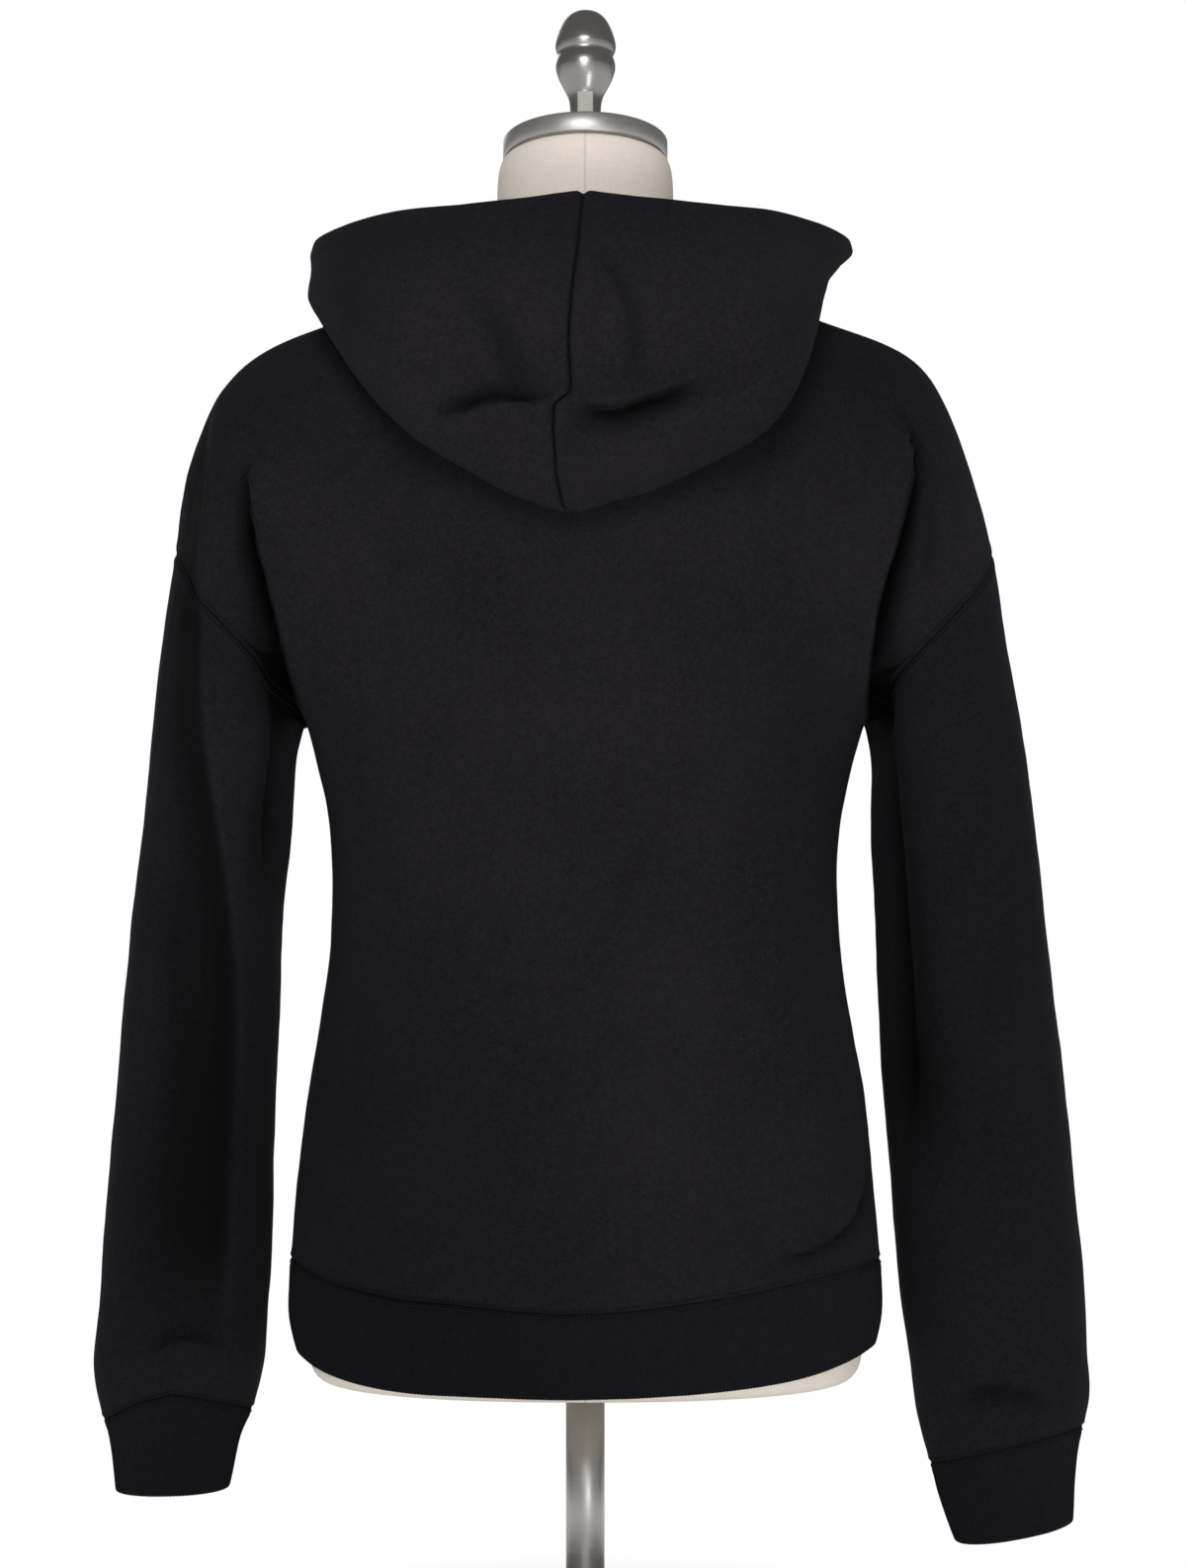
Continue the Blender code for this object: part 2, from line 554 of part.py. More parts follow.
def with_folds(name, face, normals, closed):
    """The face with its folds, which fade out before its edges."""
    rows, columns = face.shape[:2]
    down = np.linspace(0, 1, rows)[:, None]
    across = (np.arange(columns) / (columns if closed else columns - 1))[None, :]
    lift = np.zeros((rows, columns))
    for piece, row_at, column_at, row_reach, column_reach, slant, height in FOLDS:
        if piece == name:
            off_column = across - column_at
            off_row = down - row_at - slant * off_column
            lift += height * np.exp(-((off_row / row_reach) ** 2) - (off_column / column_reach) ** 2)
    lift *= np.clip(np.minimum(down, 1 - down) / FOLD_FADE, 0, 1)
    if not closed:
        lift *= np.clip(np.minimum(across, 1 - across) / FOLD_FADE, 0, 1)
    return face + normals * lift[:, :, None]


def trimmed(face, closed):
    """The face with its free edges drawn back by half the seam gap."""
    moved = face.copy()

    def inwards(edge, inner):
        along = inner - edge
        return along / np.linalg.norm(along, axis=-1, keepdims=True) * SEAM_GAP / 2

    moved[0] += inwards(face[0], face[1])
    moved[-1] += inwards(face[-1], face[-2])
    if not closed:
        moved[:, 0] += inwards(face[:, 0], face[:, 1])
        moved[:, -1] += inwards(face[:, -1], face[:, -2])
    return moved


def wall_mesh(name, face, normals, closed, outward, thickness):
    """A closed wall between a face and the same face moved in by the thickness."""
    outer = trimmed(face, closed)
    inner = outer - normals * thickness
    rows, columns = face.shape[:2]
    count = rows * columns
    points = np.concatenate([outer.reshape(-1, 3), inner.reshape(-1, 3)])

    def at(i, j, layer):
        return layer * count + i * columns + j % columns

    def rim(p, q):
        """Two triangles over an edge, cut the same way by both of the pieces that meet there."""
        p_first = tuple(face[p[0], p[1] % columns].round(5)) < tuple(
            face[q[0], q[1] % columns].round(5)
        )
        p0, p1, q0, q1 = at(*p, 0), at(*p, 1), at(*q, 0), at(*q, 1)
        return [[p1, q1, q0], [p1, q0, p0]] if p_first else [[p1, q1, p0], [q1, q0, p0]]

    cells = []
    last = columns if closed else columns - 1
    for i in range(rows - 1):
        for j in range(last):
            corners = [(i, j), (i, j + 1), (i + 1, j + 1), (i + 1, j)]
            cells.append([at(a, b, 0) for a, b in corners])
            cells.append([at(a, b, 1) for a, b in reversed(corners)])
    top, end = rows - 1, columns - 1
    for j in range(last):
        cells += rim((0, j), (0, j + 1))
        cells += rim((top, j + 1), (top, j))
    if not closed:
        for i in range(rows - 1):
            cells += rim((i + 1, 0), (i, 0))
            cells += rim((i, end), (i + 1, end))
    if outward < 0:
        cells = [cell[::-1] for cell in cells]
    mesh = bpy.data.meshes.new(name)
    mesh.from_pydata(points.tolist(), [], cells)
    mesh.validate()
    return mesh


# ---------------------------------------------------------------- objects
def material(name):
    colour, roughness, metallic = MATERIALS[name]
    made = bpy.data.materials.get(name) or bpy.data.materials.new(name)
    made.use_nodes = True
    shader = made.node_tree.nodes["Principled BSDF"]
    shader.inputs["Base Color"].default_value = colour
    shader.inputs["Roughness"].default_value = roughness
    shader.inputs["Metallic"].default_value = metallic
    return made


def add_object(name, mesh, material_name):
    item = bpy.data.objects.new(name, mesh)
    bpy.context.collection.objects.link(item)
    mesh.materials.append(material(material_name))
    mesh.shade_smooth()
    mesh.set_sharp_from_angle(angle=math.radians(40))
    return item


def lofted(name, rings, material_name):
    """A solid through closed rings of points, with a flat cap at each end."""
    shape = bmesh.new()
    made = [[shape.verts.new(point) for point in ring] for ring in rings]
    for low, high in zip(made, made[1:]):
        for j in range(len(low)):
            k = (j + 1) % len(low)
            shape.faces.new([low[j], low[k], high[k], high[j]])
    shape.faces.new(made[0][::-1])
    shape.faces.new(made[-1])
    bmesh.ops.recalc_face_normals(shape, faces=shape.faces)
    mesh = bpy.data.meshes.new(name)
    shape.to_mesh(mesh)
    shape.free()
    return add_object(name, mesh, material_name)


def circle(radius, height, segments):
    angles = 2 * np.pi * np.arange(segments) / segments
    return np.stack(
        [radius * np.cos(angles), radius * np.sin(angles), np.full(segments, height)], axis=1
    )


def on_neck(item):
    """Stands a piece, made about its own axis, on the tilted top of the neck."""
    item.location = NECK_TOP
    item.rotation_euler = (NECK_TILT, 0, 0)
    return item


def make_garment():
    back, front = panel_face(False), panel_face(True)
    left_armhole = armhole_ring(back, front, True)
    right_armhole = armhole_ring(back, front, False)
    count = len(left_armhole)
    pieces = {
        # name: outer face, whether it closes on itself, which way its cells turn
        "back_panel": (back, False, 1),
        "front_panel": (front, False, -1),
        "sleeve_left": (sleeve_face(LEFT_SLEEVE, left_armhole, 1), True, 1),
        "sleeve_right": (sleeve_face(RIGHT_SLEEVE, right_armhole, -1), True, -1),
        "cuff_left": (cuff_face(LEFT_CUFF, count, 1), True, 1),
        "cuff_right": (cuff_face(RIGHT_CUFF, count, -1), True, -1),
        "hem_band": (hem_face(), True, 1),
        "hood_left": (hood_face(back, front, True), False, -1),
        "hood_right": (hood_face(back, front, False), False, 1),
    }
    normals = shared_normals(pieces)
    for name, (face, closed, outward) in pieces.items():
        face = with_folds(name, face, normals[name], closed)
        rib = name.startswith(("cuff", "hem"))
        thickness = RIB_WALL if rib else FLEECE_WALL
        mesh = wall_mesh(name, face, normals[name], closed, outward, thickness)
        add_object(name, mesh, "rib_knit" if rib else "fleece")


def make_form():
    heights = np.array([row[0] for row in FORM])
    shares = np.linspace(0, len(heights) - 1, FORM_ROWS)
    rings = []
    for height in np.interp(shares, np.arange(len(heights)), heights):
        half_width, back, front, centre_y, power = table_rows(FORM, [height])[0]
        angle = 2 * np.pi * np.arange(FORM_COLUMNS) / FORM_COLUMNS
        across, through = rounded_square(angle, power)
        depth = np.where(through > 0, back, front) * through
        lean = np.clip((height - NECK_TILT_START) / (NECK_TOP[2] - NECK_TILT_START), 0, 1)
        lift = depth * math.tan(NECK_TILT) * lean
        rings.append(np.stack([half_width * across, centre_y + depth, height + lift], axis=1))
    lofted("form_body", rings, "form_cloth")


def make_neck_fittings():
    wall = NECK_RING_RADIUS - NECK_RING_WALL
    low, high = SEAM_GAP, NECK_RING_HEIGHT
    band = bmesh.new()
    loops = [(NECK_RING_RADIUS, low), (NECK_RING_RADIUS, high), (wall, high), (wall, low)]
    made = [[band.verts.new(p) for p in circle(r, h, 2 * TURNED_SEGMENTS)] for r, h in loops]
    for one, two in zip(made, made[1:] + made[:1]):
        for j in range(len(one)):
            k = (j + 1) % len(one)
            band.faces.new([one[j], one[k], two[k], two[j]])
    bmesh.ops.recalc_face_normals(band, faces=band.faces)
    mesh = bpy.data.meshes.new("neck_ring")
    band.to_mesh(mesh)
    band.free()
    on_neck(add_object("neck_ring", mesh, "brushed_steel"))

    plate_top = high - NECK_PLATE_DROP
    plate_radius = wall - SEAM_GAP
    plate = [circle(plate_radius, h, 2 * TURNED_SEGMENTS) for h in (low, plate_top)]
    on_neck(lofted("neck_plate", plate, "brushed_steel"))

    foot = plate_top + SEAM_GAP
    rings = [circle(r, foot + h, TURNED_SEGMENTS) for r, h in KNOB]
    rings.append(circle(KNOB[-1][0] / 3, foot + KNOB_TOP, TURNED_SEGMENTS))
    on_neck(lofted("knob", rings, "brushed_steel"))

    across, through, up = KEY_SIZE
    corners = [(-across / 2, KEY_OUT), (across / 2, KEY_OUT)]
    corners += [(across / 2, KEY_OUT + through), (-across / 2, KEY_OUT + through)]
    block = [[(x, y, foot + KEY_FOOT + h) for x, y in corners] for h in (0.0, up)]
    on_neck(lofted("knob_key", block, "brushed_steel"))


def make_stand():
    base = [circle(r, h, BASE_SEGMENTS) for r, h in BASE]
    lofted("stand_base", base, "brushed_steel")
    low, high = BASE[0][1] + SEAM_GAP, FORM[0][0] - SEAM_GAP
    pole = [circle(POLE_RADIUS, h, POLE_SEGMENTS) for h in (low, high)]
    lofted("stand_pole", pole, "brushed_steel")


def main():
    for item in list(bpy.data.objects):
        bpy.data.objects.remove(item, do_unlink=True)
    make_garment()
    make_form()
    make_neck_fittings()
    make_stand()


main()
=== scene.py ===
"""A hooded pullover sweatshirt on a limbless dress form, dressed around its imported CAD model."""

import math

import bmesh
import bpy
import numpy as np
from bpy.props import FloatProperty, FloatVectorProperty, IntProperty, PointerProperty
from mathutils import Matrix, Vector, noise
from mathutils.bvhtree import BVHTree
from mathutils.kdtree import KDTree


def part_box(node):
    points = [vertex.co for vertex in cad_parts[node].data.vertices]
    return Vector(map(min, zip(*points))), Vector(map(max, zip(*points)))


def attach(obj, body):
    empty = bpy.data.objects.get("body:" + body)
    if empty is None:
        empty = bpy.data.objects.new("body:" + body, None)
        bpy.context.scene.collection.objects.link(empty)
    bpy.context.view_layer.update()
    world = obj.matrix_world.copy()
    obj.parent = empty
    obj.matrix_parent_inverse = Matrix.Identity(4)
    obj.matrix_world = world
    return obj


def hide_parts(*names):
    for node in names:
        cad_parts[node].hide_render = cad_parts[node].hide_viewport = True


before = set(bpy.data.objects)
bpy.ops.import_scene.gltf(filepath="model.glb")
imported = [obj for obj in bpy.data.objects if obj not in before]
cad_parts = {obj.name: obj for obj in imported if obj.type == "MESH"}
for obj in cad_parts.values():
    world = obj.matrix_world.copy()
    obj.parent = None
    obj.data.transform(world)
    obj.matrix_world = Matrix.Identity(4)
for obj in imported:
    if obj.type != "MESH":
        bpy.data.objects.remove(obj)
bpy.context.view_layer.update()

bl_info = {
    "name": "Hooded sweatshirt on a dress form",
    "version": (1, 0, 0),
    "blender": (4, 5, 0),
    "location": "3D View > Sidebar > Sweatshirt",
    "description": "Sews, stitches and finishes a hooded sweatshirt and the form it stands on",
    "category": "Add Mesh",
}

# ---------------------------------------------------------------- sizes and tables
CLOTH_PIECES = {
    # CAD node: way to its outer face, flat cut (width, length), flat area, how held, on what
    "back_panel": ((0, 1, 0), (0.790, 0.690), 0.328, "hung", ["form_body"]),
    "front_panel": ((0, -1, 0), (0.860, 0.690), 0.321, "hung", ["form_body"]),
    "sleeve_left": ((1, 0, 0), (0.440, 0.570), 0.183, "hung", ["back_panel"]),
    "sleeve_right": ((-1, 0, 0), (0.440, 0.590), 0.200, "hung", ["back_panel"]),
    "cuff_left": ((1, 0, 0), (0.270, 0.060), 0.0140, "gathered", ["sleeve_left"]),
    "cuff_right": ((-1, 0, 0), (0.270, 0.060), 0.0153, "gathered", ["sleeve_right"]),
    "hem_band": ((0, 1, 0), (1.010, 0.062), 0.0605, "stretched", ["form_body"]),
    "hood_left": ((0, 1, 0), (0.430, 0.540), 0.091, "folded", ["back_panel"]),
    "hood_right": ((0, 1, 0), (0.430, 0.540), 0.088, "folded", ["back_panel"]),
}
PIECE_NUMBER = {name: number for number, name in enumerate(CLOTH_PIECES)}
RIB_PIECES = ("cuff_left", "cuff_right", "hem_band")
HOOD_PIECES = ("hood_left", "hood_right")
PANEL_PIECES = ("back_panel", "front_panel")
SLEEVE_PIECES = ("sleeve_left", "sleeve_right")

MERGE_CAD = 2e-5  # the CAD mesh's split corners are this close
MERGE_SEAMS = 0.0006  # and the edges of two pieces sewn to each other are this close
WALL_TOLERANCE = 3e-6
ENDS_MEET = 0.008  # a seam whose ends are this close runs all the way round
FAR = 0.05  # distances to seams are measured up to here

# The camera's place, which also gives the plane that the crease paths below are drawn on.
CAMERA_PLACE = (-0.005, 2.2, 0.591)
SENSOR = 36.0
FRAME_HEIGHT = 1.015  # metres of the y = 0 plane from the frame's bottom to its top

NECK_TOP = (0.0, -0.010, 0.9955)
NECK_TILT = math.radians(11)
NECK_FITTINGS_GAP = 0.0003
NECK_CAP = 0.020  # the tilted flat top of the neck reaches this far below the form's highest point
CAP_INSETS = (0.004, 0.020)  # rings of edges that keep the form's flat ends flat up to their rims
METAL_EDGE = 0.0006  # how far the fittings' edges are rounded off
KEY_SIZE = (0.0102, 0.0020, 0.0150)
RING_SIDES, KNOB_SIDES, BASE_SIDES, POLE_SIDES = 128, 96, 144, 64

ARM_LEFT, ARM_RIGHT = ("sleeve_left", "back_panel"), ("sleeve_right", "back_panel")
BACK = ("back_panel",)
CREASES = [
    # pieces, kind, half width (at its start, at its end), depth, path on the picture plane (x, z)
    (HOOD_PIECES, "fold", (0.0060, 0.0105), 0.0120,
     [(-0.0820, 0.8610), (-0.0688, 0.8525), (-0.0523, 0.8455), (-0.0379, 0.8414),
      (-0.0275, 0.8365), (-0.0193, 0.8348), (-0.0111, 0.8352), (0.0013, 0.8385),
      (0.0096, 0.8422), (0.0178, 0.8424)]),
    (HOOD_PIECES, "fold", (0.0060, 0.0090), 0.0100,
     [(0.1030, 0.8240), (0.0920, 0.8290), (0.0755, 0.8332), (0.0591, 0.8394), (0.0467, 0.8385),
      (0.0323, 0.8385), (0.0219, 0.8414), (0.0150, 0.8450)]),
    (HOOD_PIECES, "groove", (0.0130, 0.0060), 0.0052,
     [(0.0760, 0.9150), (0.0673, 0.9012), (0.0591, 0.8868), (0.0508, 0.8723), (0.0446, 0.8600),
      (0.0426, 0.8497), (0.0364, 0.8425), (0.0260, 0.8420)]),
    (HOOD_PIECES, "fold", (0.0060, 0.0060), 0.0038,
     [(0.0030, 0.9460), (-0.0007, 0.9383), (-0.0193, 0.9177), (-0.0267, 0.9012),
      (-0.0284, 0.8806), (-0.0275, 0.8641), (-0.0267, 0.8525), (-0.0292, 0.8468),
      (-0.0243, 0.8427), (-0.0152, 0.8410)]),
    (HOOD_PIECES, "ridge", (0.0030, 0.0030), 0.0030,
     [(-0.0060, 0.8560), (-0.0200, 0.8555), (-0.0280, 0.8500), (-0.0255, 0.8440),
      (-0.0110, 0.8400)]),
    (HOOD_PIECES, "groove", (0.0090, 0.0090), 0.0026,
     [(0.1560, 0.9240), (0.1510, 0.8990), (0.1500, 0.8850)]),
    (HOOD_PIECES, "groove", (0.0140, 0.0140), 0.0028,
     [(0.0080, 0.8320), (0.0050, 0.8140), (0.0040, 0.7980)]),
    (HOOD_PIECES, "ridge", (0.0050, 0.0050), 0.0018,
     [(-0.0180, 0.8420), (-0.0280, 0.8310), (-0.0410, 0.8150)]),
    (ARM_LEFT, "fold", (0.0230, 0.0035), 0.0220,
     [(0.1845, 0.4900), (0.1810, 0.5600), (0.1760, 0.6200), (0.1815, 0.6426), (0.1926, 0.6739),
      (0.2016, 0.7098), (0.2106, 0.7411), (0.2150, 0.7661), (0.2195, 0.7930), (0.2106, 0.8040),
      (0.1960, 0.7990)]),
    (ARM_RIGHT, "groove", (0.0050, 0.0060), 0.0055,
     [(-0.2240, 0.8080), (-0.2255, 0.7800), (-0.2250, 0.7450), (-0.2200, 0.7080)]),
    (ARM_RIGHT, "fold", (0.0035, 0.0240), 0.0220,
     [(-0.1850, 0.8450), (-0.1960, 0.8370), (-0.2090, 0.8200), (-0.2130, 0.8010),
      (-0.2074, 0.7680), (-0.1962, 0.7322), (-0.1870, 0.7008), (-0.1800, 0.6560),
      (-0.1760, 0.6200), (-0.1790, 0.5600), (-0.1850, 0.4500), (-0.1960, 0.3300)]),
    (ARM_LEFT, "fall", (0.0070, 0.0160), 0.0085,
     [(0.2330, 0.8650), (0.2352, 0.8531), (0.2397, 0.8173), (0.2442, 0.7725), (0.2477, 0.7277),
      (0.2464, 0.6963), (0.2477, 0.6560), (0.2442, 0.6157), (0.2330, 0.5485), (0.2259, 0.4992),
      (0.2230, 0.4500), (0.2250, 0.3600), (0.2300, 0.2700), (0.2350, 0.2200)]),
    (("sleeve_left",), "groove", (0.0130, 0.0150), 0.0055,
     [(0.2726, 0.5638), (0.2701, 0.4864), (0.2598, 0.4474), (0.2630, 0.3590), (0.2669, 0.2918),
      (0.2688, 0.2400)]),
    (ARM_RIGHT, "ridge", (0.0035, 0.0035), 0.0018,
     [(-0.2380, 0.8100), (-0.2410, 0.7859), (-0.2477, 0.7277), (-0.2522, 0.6829),
      (-0.2566, 0.6157), (-0.2611, 0.5485), (-0.2634, 0.5037), (-0.2660, 0.4300)]),
    (("sleeve_left",), "groove", (0.0022, 0.0022), 0.0007,
     [(0.2800, 0.6500), (0.2733, 0.6496), (0.1926, 0.6470)]),
    (("sleeve_right",), "groove", (0.0022, 0.0022), 0.0006, [(-0.1950, 0.6502), (-0.2790, 0.6496)]),
    (BACK, "groove", (0.0022, 0.0022), 0.0006,
     [(0.1800, 0.8400), (0.1747, 0.8262), (0.1568, 0.7277), (0.1478, 0.6874), (0.1478, 0.4589),
      (0.1491, 0.3590), (0.1495, 0.3200)]),
    (BACK, "ridge", (0.0040, 0.0040), 0.0009,
     [(-0.1480, 0.6500), (-0.1469, 0.6202), (-0.1424, 0.5485), (-0.1414, 0.4589),
      (-0.1440, 0.3700)]),
    (BACK, "groove", (0.0055, 0.0055), 0.0016,
     [(-0.0618, 0.6022), (-0.0506, 0.5754), (-0.0326, 0.5350), (-0.0013, 0.4768)]),
    (BACK, "groove", (0.0040, 0.0040), 0.0013, [(0.1904, 0.6874), (0.1680, 0.7008)]),
    (BACK, "fold", (0.0065, 0.0065), 0.0056,
     [(-0.1850, 0.3600), (-0.1835, 0.3434), (-0.1754, 0.3175), (-0.1676, 0.3030),
      (-0.1517, 0.2920), (-0.1277, 0.2840), (-0.1000, 0.2790)]),
    (("sleeve_left",), "fold", (0.0080, 0.0080), 0.0045,
     [(0.2829, 0.2182), (0.2746, 0.2259), (0.2608, 0.2310), (0.2451, 0.2291), (0.2330, 0.2200)]),
    (("sleeve_left",), "ridge", (0.0045, 0.0045), 0.0022, [(0.2400, 0.2230), (0.2250, 0.2042)]),
    (("sleeve_right",), "fold", (0.0085, 0.0085), 0.0055,
     [(-0.3090, 0.1840), (-0.2950, 0.1960), (-0.2711, 0.2030), (-0.2470, 0.2005),
      (-0.2310, 0.1900)]),
    (("sleeve_right",), "ridge", (0.0070, 0.0070), 0.0026,
     [(-0.2560, 0.3160), (-0.2630, 0.3195), (-0.2848, 0.3277), (-0.3109, 0.3354)]),
    (("sleeve_right",), "groove", (0.0060, 0.0060), 0.0018,
     [(-0.2700, 0.2880), (-0.2751, 0.2896), (-0.2980, 0.2960)]),
]

HOLLOW_DEPTH = 0.017  # a fold this deep is in full shade
CREASE_FADE, CREASE_FADE_MOST = 0.35, 0.075  # over this share and length a crease's ends die away

FACING_GAIN = 3  # creases hold in full where the cloth's normal has a third of it towards the camera

# Soft areas of painted shade, where the cloth's colour is darkened.
PAINTED_SHADE_AREAS = [
    # pieces, middle (x, z) and reach (x, z) on the picture plane, share of full shade
    (("back_panel",), (0.1350, 0.3300), (0.1100, 0.1500), 0.36),
    (("back_panel",), (-0.1450, 0.6200), (0.0450, 0.1500), 0.16),
    (("back_panel",), (-0.1300, 0.8500), (0.1100, 0.0600), 0.14),
    (("sleeve_right",), (-0.2650, 0.4600), (0.0900, 0.2400), 0.40),
    (("sleeve_left",), (0.2700, 0.3200), (0.0900, 0.1600), 0.36),
    (("hem_band", "cuff_left"), (0.1200, 0.2300), (0.1400, 0.2000), 0.30),
]

SLIDES = [
    # pieces, height and reach of the strip that slides up the cloth, how far (at x, rise)
    (("sleeve_left", "cuff_left"), 0.190, 0.028,
     [(0.2157, -0.0010), (0.2400, 0.0020), (0.2666, 0.0064), (0.2900, 0.0010),
      (0.3066, -0.0064), (0.3150, -0.0075)]),
    (("back_panel", "hem_band"), 0.262, 0.026,
     [(-0.1900, 0.0050), (-0.1000, -0.0010), (0.0170, -0.0050), (0.1200, -0.0010),
      (0.1900, 0.0050)]),
]

# How far the hood's centre seam strays from the middle, by height on the picture plane.
SEAM_DRIFT = [
    # height, drift towards the wearer's left
    (0.760, 0.0120),
    (0.790, 0.0175),
    (0.820, 0.0190),
    (0.838, 0.0190),
    (0.846, 0.0090),
    (0.880, 0.0100),
    (0.907, 0.0085),
    (0.940, 0.0045),
    (0.975, 0.0013),
]

DRIFT_WIDTH = 0.055  # the drift dies away over this distance from the middle
DRIFT_FROM, DRIFT_OVER = 0.112, 0.016  # and sets in this far behind it, over this depth

UNEVENNESS = [
    # waves per metre, height
    (9, 0.0012),
    (26, 0.0006),
    (70, 0.00022),
]
SEAM_PROFILES = [
    # seams, distance from them, half width, height of the welt or depth of the groove there
    ("seam", 0.0035, 0.0022, 0.0004),
    ("seam", 0.0, 0.0014, -0.0006),
    ("side", 0.0, 0.0020, -0.0005),
    ("centre", 0.0, 0.0019, -0.0020),
    ("centre", 0.0050, 0.0030, 0.0006),
]

KNOB_OUTLINE = [
    # radius, height
    (0.0103, 0.0000),
    (0.0103, 0.0255),
    (0.0107, 0.0285),
    (0.0118, 0.0324),
    (0.0142, 0.0374),
    (0.0167, 0.0424),
    (0.0186, 0.0473),
    (0.0195, 0.0508),
    (0.0196, 0.0535),
    (0.0190, 0.0565),
    (0.0181, 0.0598),
    (0.0192, 0.0630),
    (0.0199, 0.0655),
    (0.0198, 0.0688),
    (0.0190, 0.0723),
    (0.0167, 0.0789),
    (0.0141, 0.0839),
    (0.0113, 0.0872),
    (0.0071, 0.0897),
    (0.0000, 0.0905),
]
BASE_OUTLINE = [
    # radius, height
    (0.0000, 0.0340),
    (0.0240, 0.0340),
    (0.0275, 0.0330),
    (0.0295, 0.0300),
    (0.0310, 0.0220),
    (0.0350, 0.0185),
    (0.1000, 0.0145),
    (0.1820, 0.0120),
    (0.1875, 0.0105),
    (0.1900, 0.0075),
    (0.1900, 0.0020),
    (0.1885, 0.0000),
    (0.0000, 0.0000),
]

LIGHTS = [
    # name, which its power's setting starts with, place, width
    ("key", (0.12, 1.45, 1.35), 0.7),
    ("low", (-0.45, 1.4, 0.3), 0.4),
    ("front", (0.4, -2.2, 1.7), 1.6),
]
LIGHTS_AIM = (0, 0, 0.6)
FLOOR_RADIUS = 30.0
FLOOR_FADE = (0.10, 0.42)  # the floor's colour turns to white between these distances
ROOM_DIM, ROOM_FROM, ROOM_TO = 0.8, -0.6, 0.8  # the room is this much dimmer at the wearer's front


# ---------------------------------------------------------------- materials
NAP_SHINE = {
    "specular_ior_level": 0.03,
    "sheen_weight": 0.015,
    "sheen_roughness": 0.6,
    "sheen_tint": (0.78, 0.72, 0.82, 1.0),
}
SHADED = 0.08  # a colour's share of its brightness in full shade
HOLLOW_SHADE = 0.97  # how far towards full shade the deepest hollow goes


class Wire:
    """An output socket. Python's arithmetic on it adds Math nodes to its material."""

    def __init__(self, finish, socket):
        self.finish, self.socket = finish, socket

    def maths(self, operation, *values, clamp=False):
        settings = {"operation": operation, "use_clamp": clamp}
        return self.finish.node("ShaderNodeMath", settings, dict(enumerate(values)))

    def __add__(self, other):
        return self.maths("ADD", self, other)

    def __radd__(self, other):
        return self.maths("ADD", other, self)

    def __sub__(self, other):
        return self.maths("SUBTRACT", self, other)

    def __rsub__(self, other):
        return self.maths("SUBTRACT", other, self)

    def __mul__(self, other):
        return self.maths("MULTIPLY", self, other)

    def __rmul__(self, other):
        return self.maths("MULTIPLY", other, self)

    def __truediv__(self, other):
        return self.maths("DIVIDE", self, other)

    def __abs__(self):
        return self.maths("ABSOLUTE", self)

    def __neg__(self):
        return 0.0 - self

    def sine(self):
        return self.maths("SINE", self)

    def clamped(self):
        return self.maths("ADD", self, 0.0, clamp=True)

    def hill(self, centre, half_width):
        """1 at the centre value, falling smoothly to nothing over about twice the half width."""
        off = (self - centre) / half_width
        return self.maths("EXPONENT", -(off * off))

    def rise(self, start, end):
        """0 below start and 1 above end, and a soft step between."""
        settings = {"interpolation_type": "SMOOTHSTEP"}
        values = {"Value": self, "From Min": start, "From Max": end}
        return self.finish.node("ShaderNodeMapRange", settings, values)


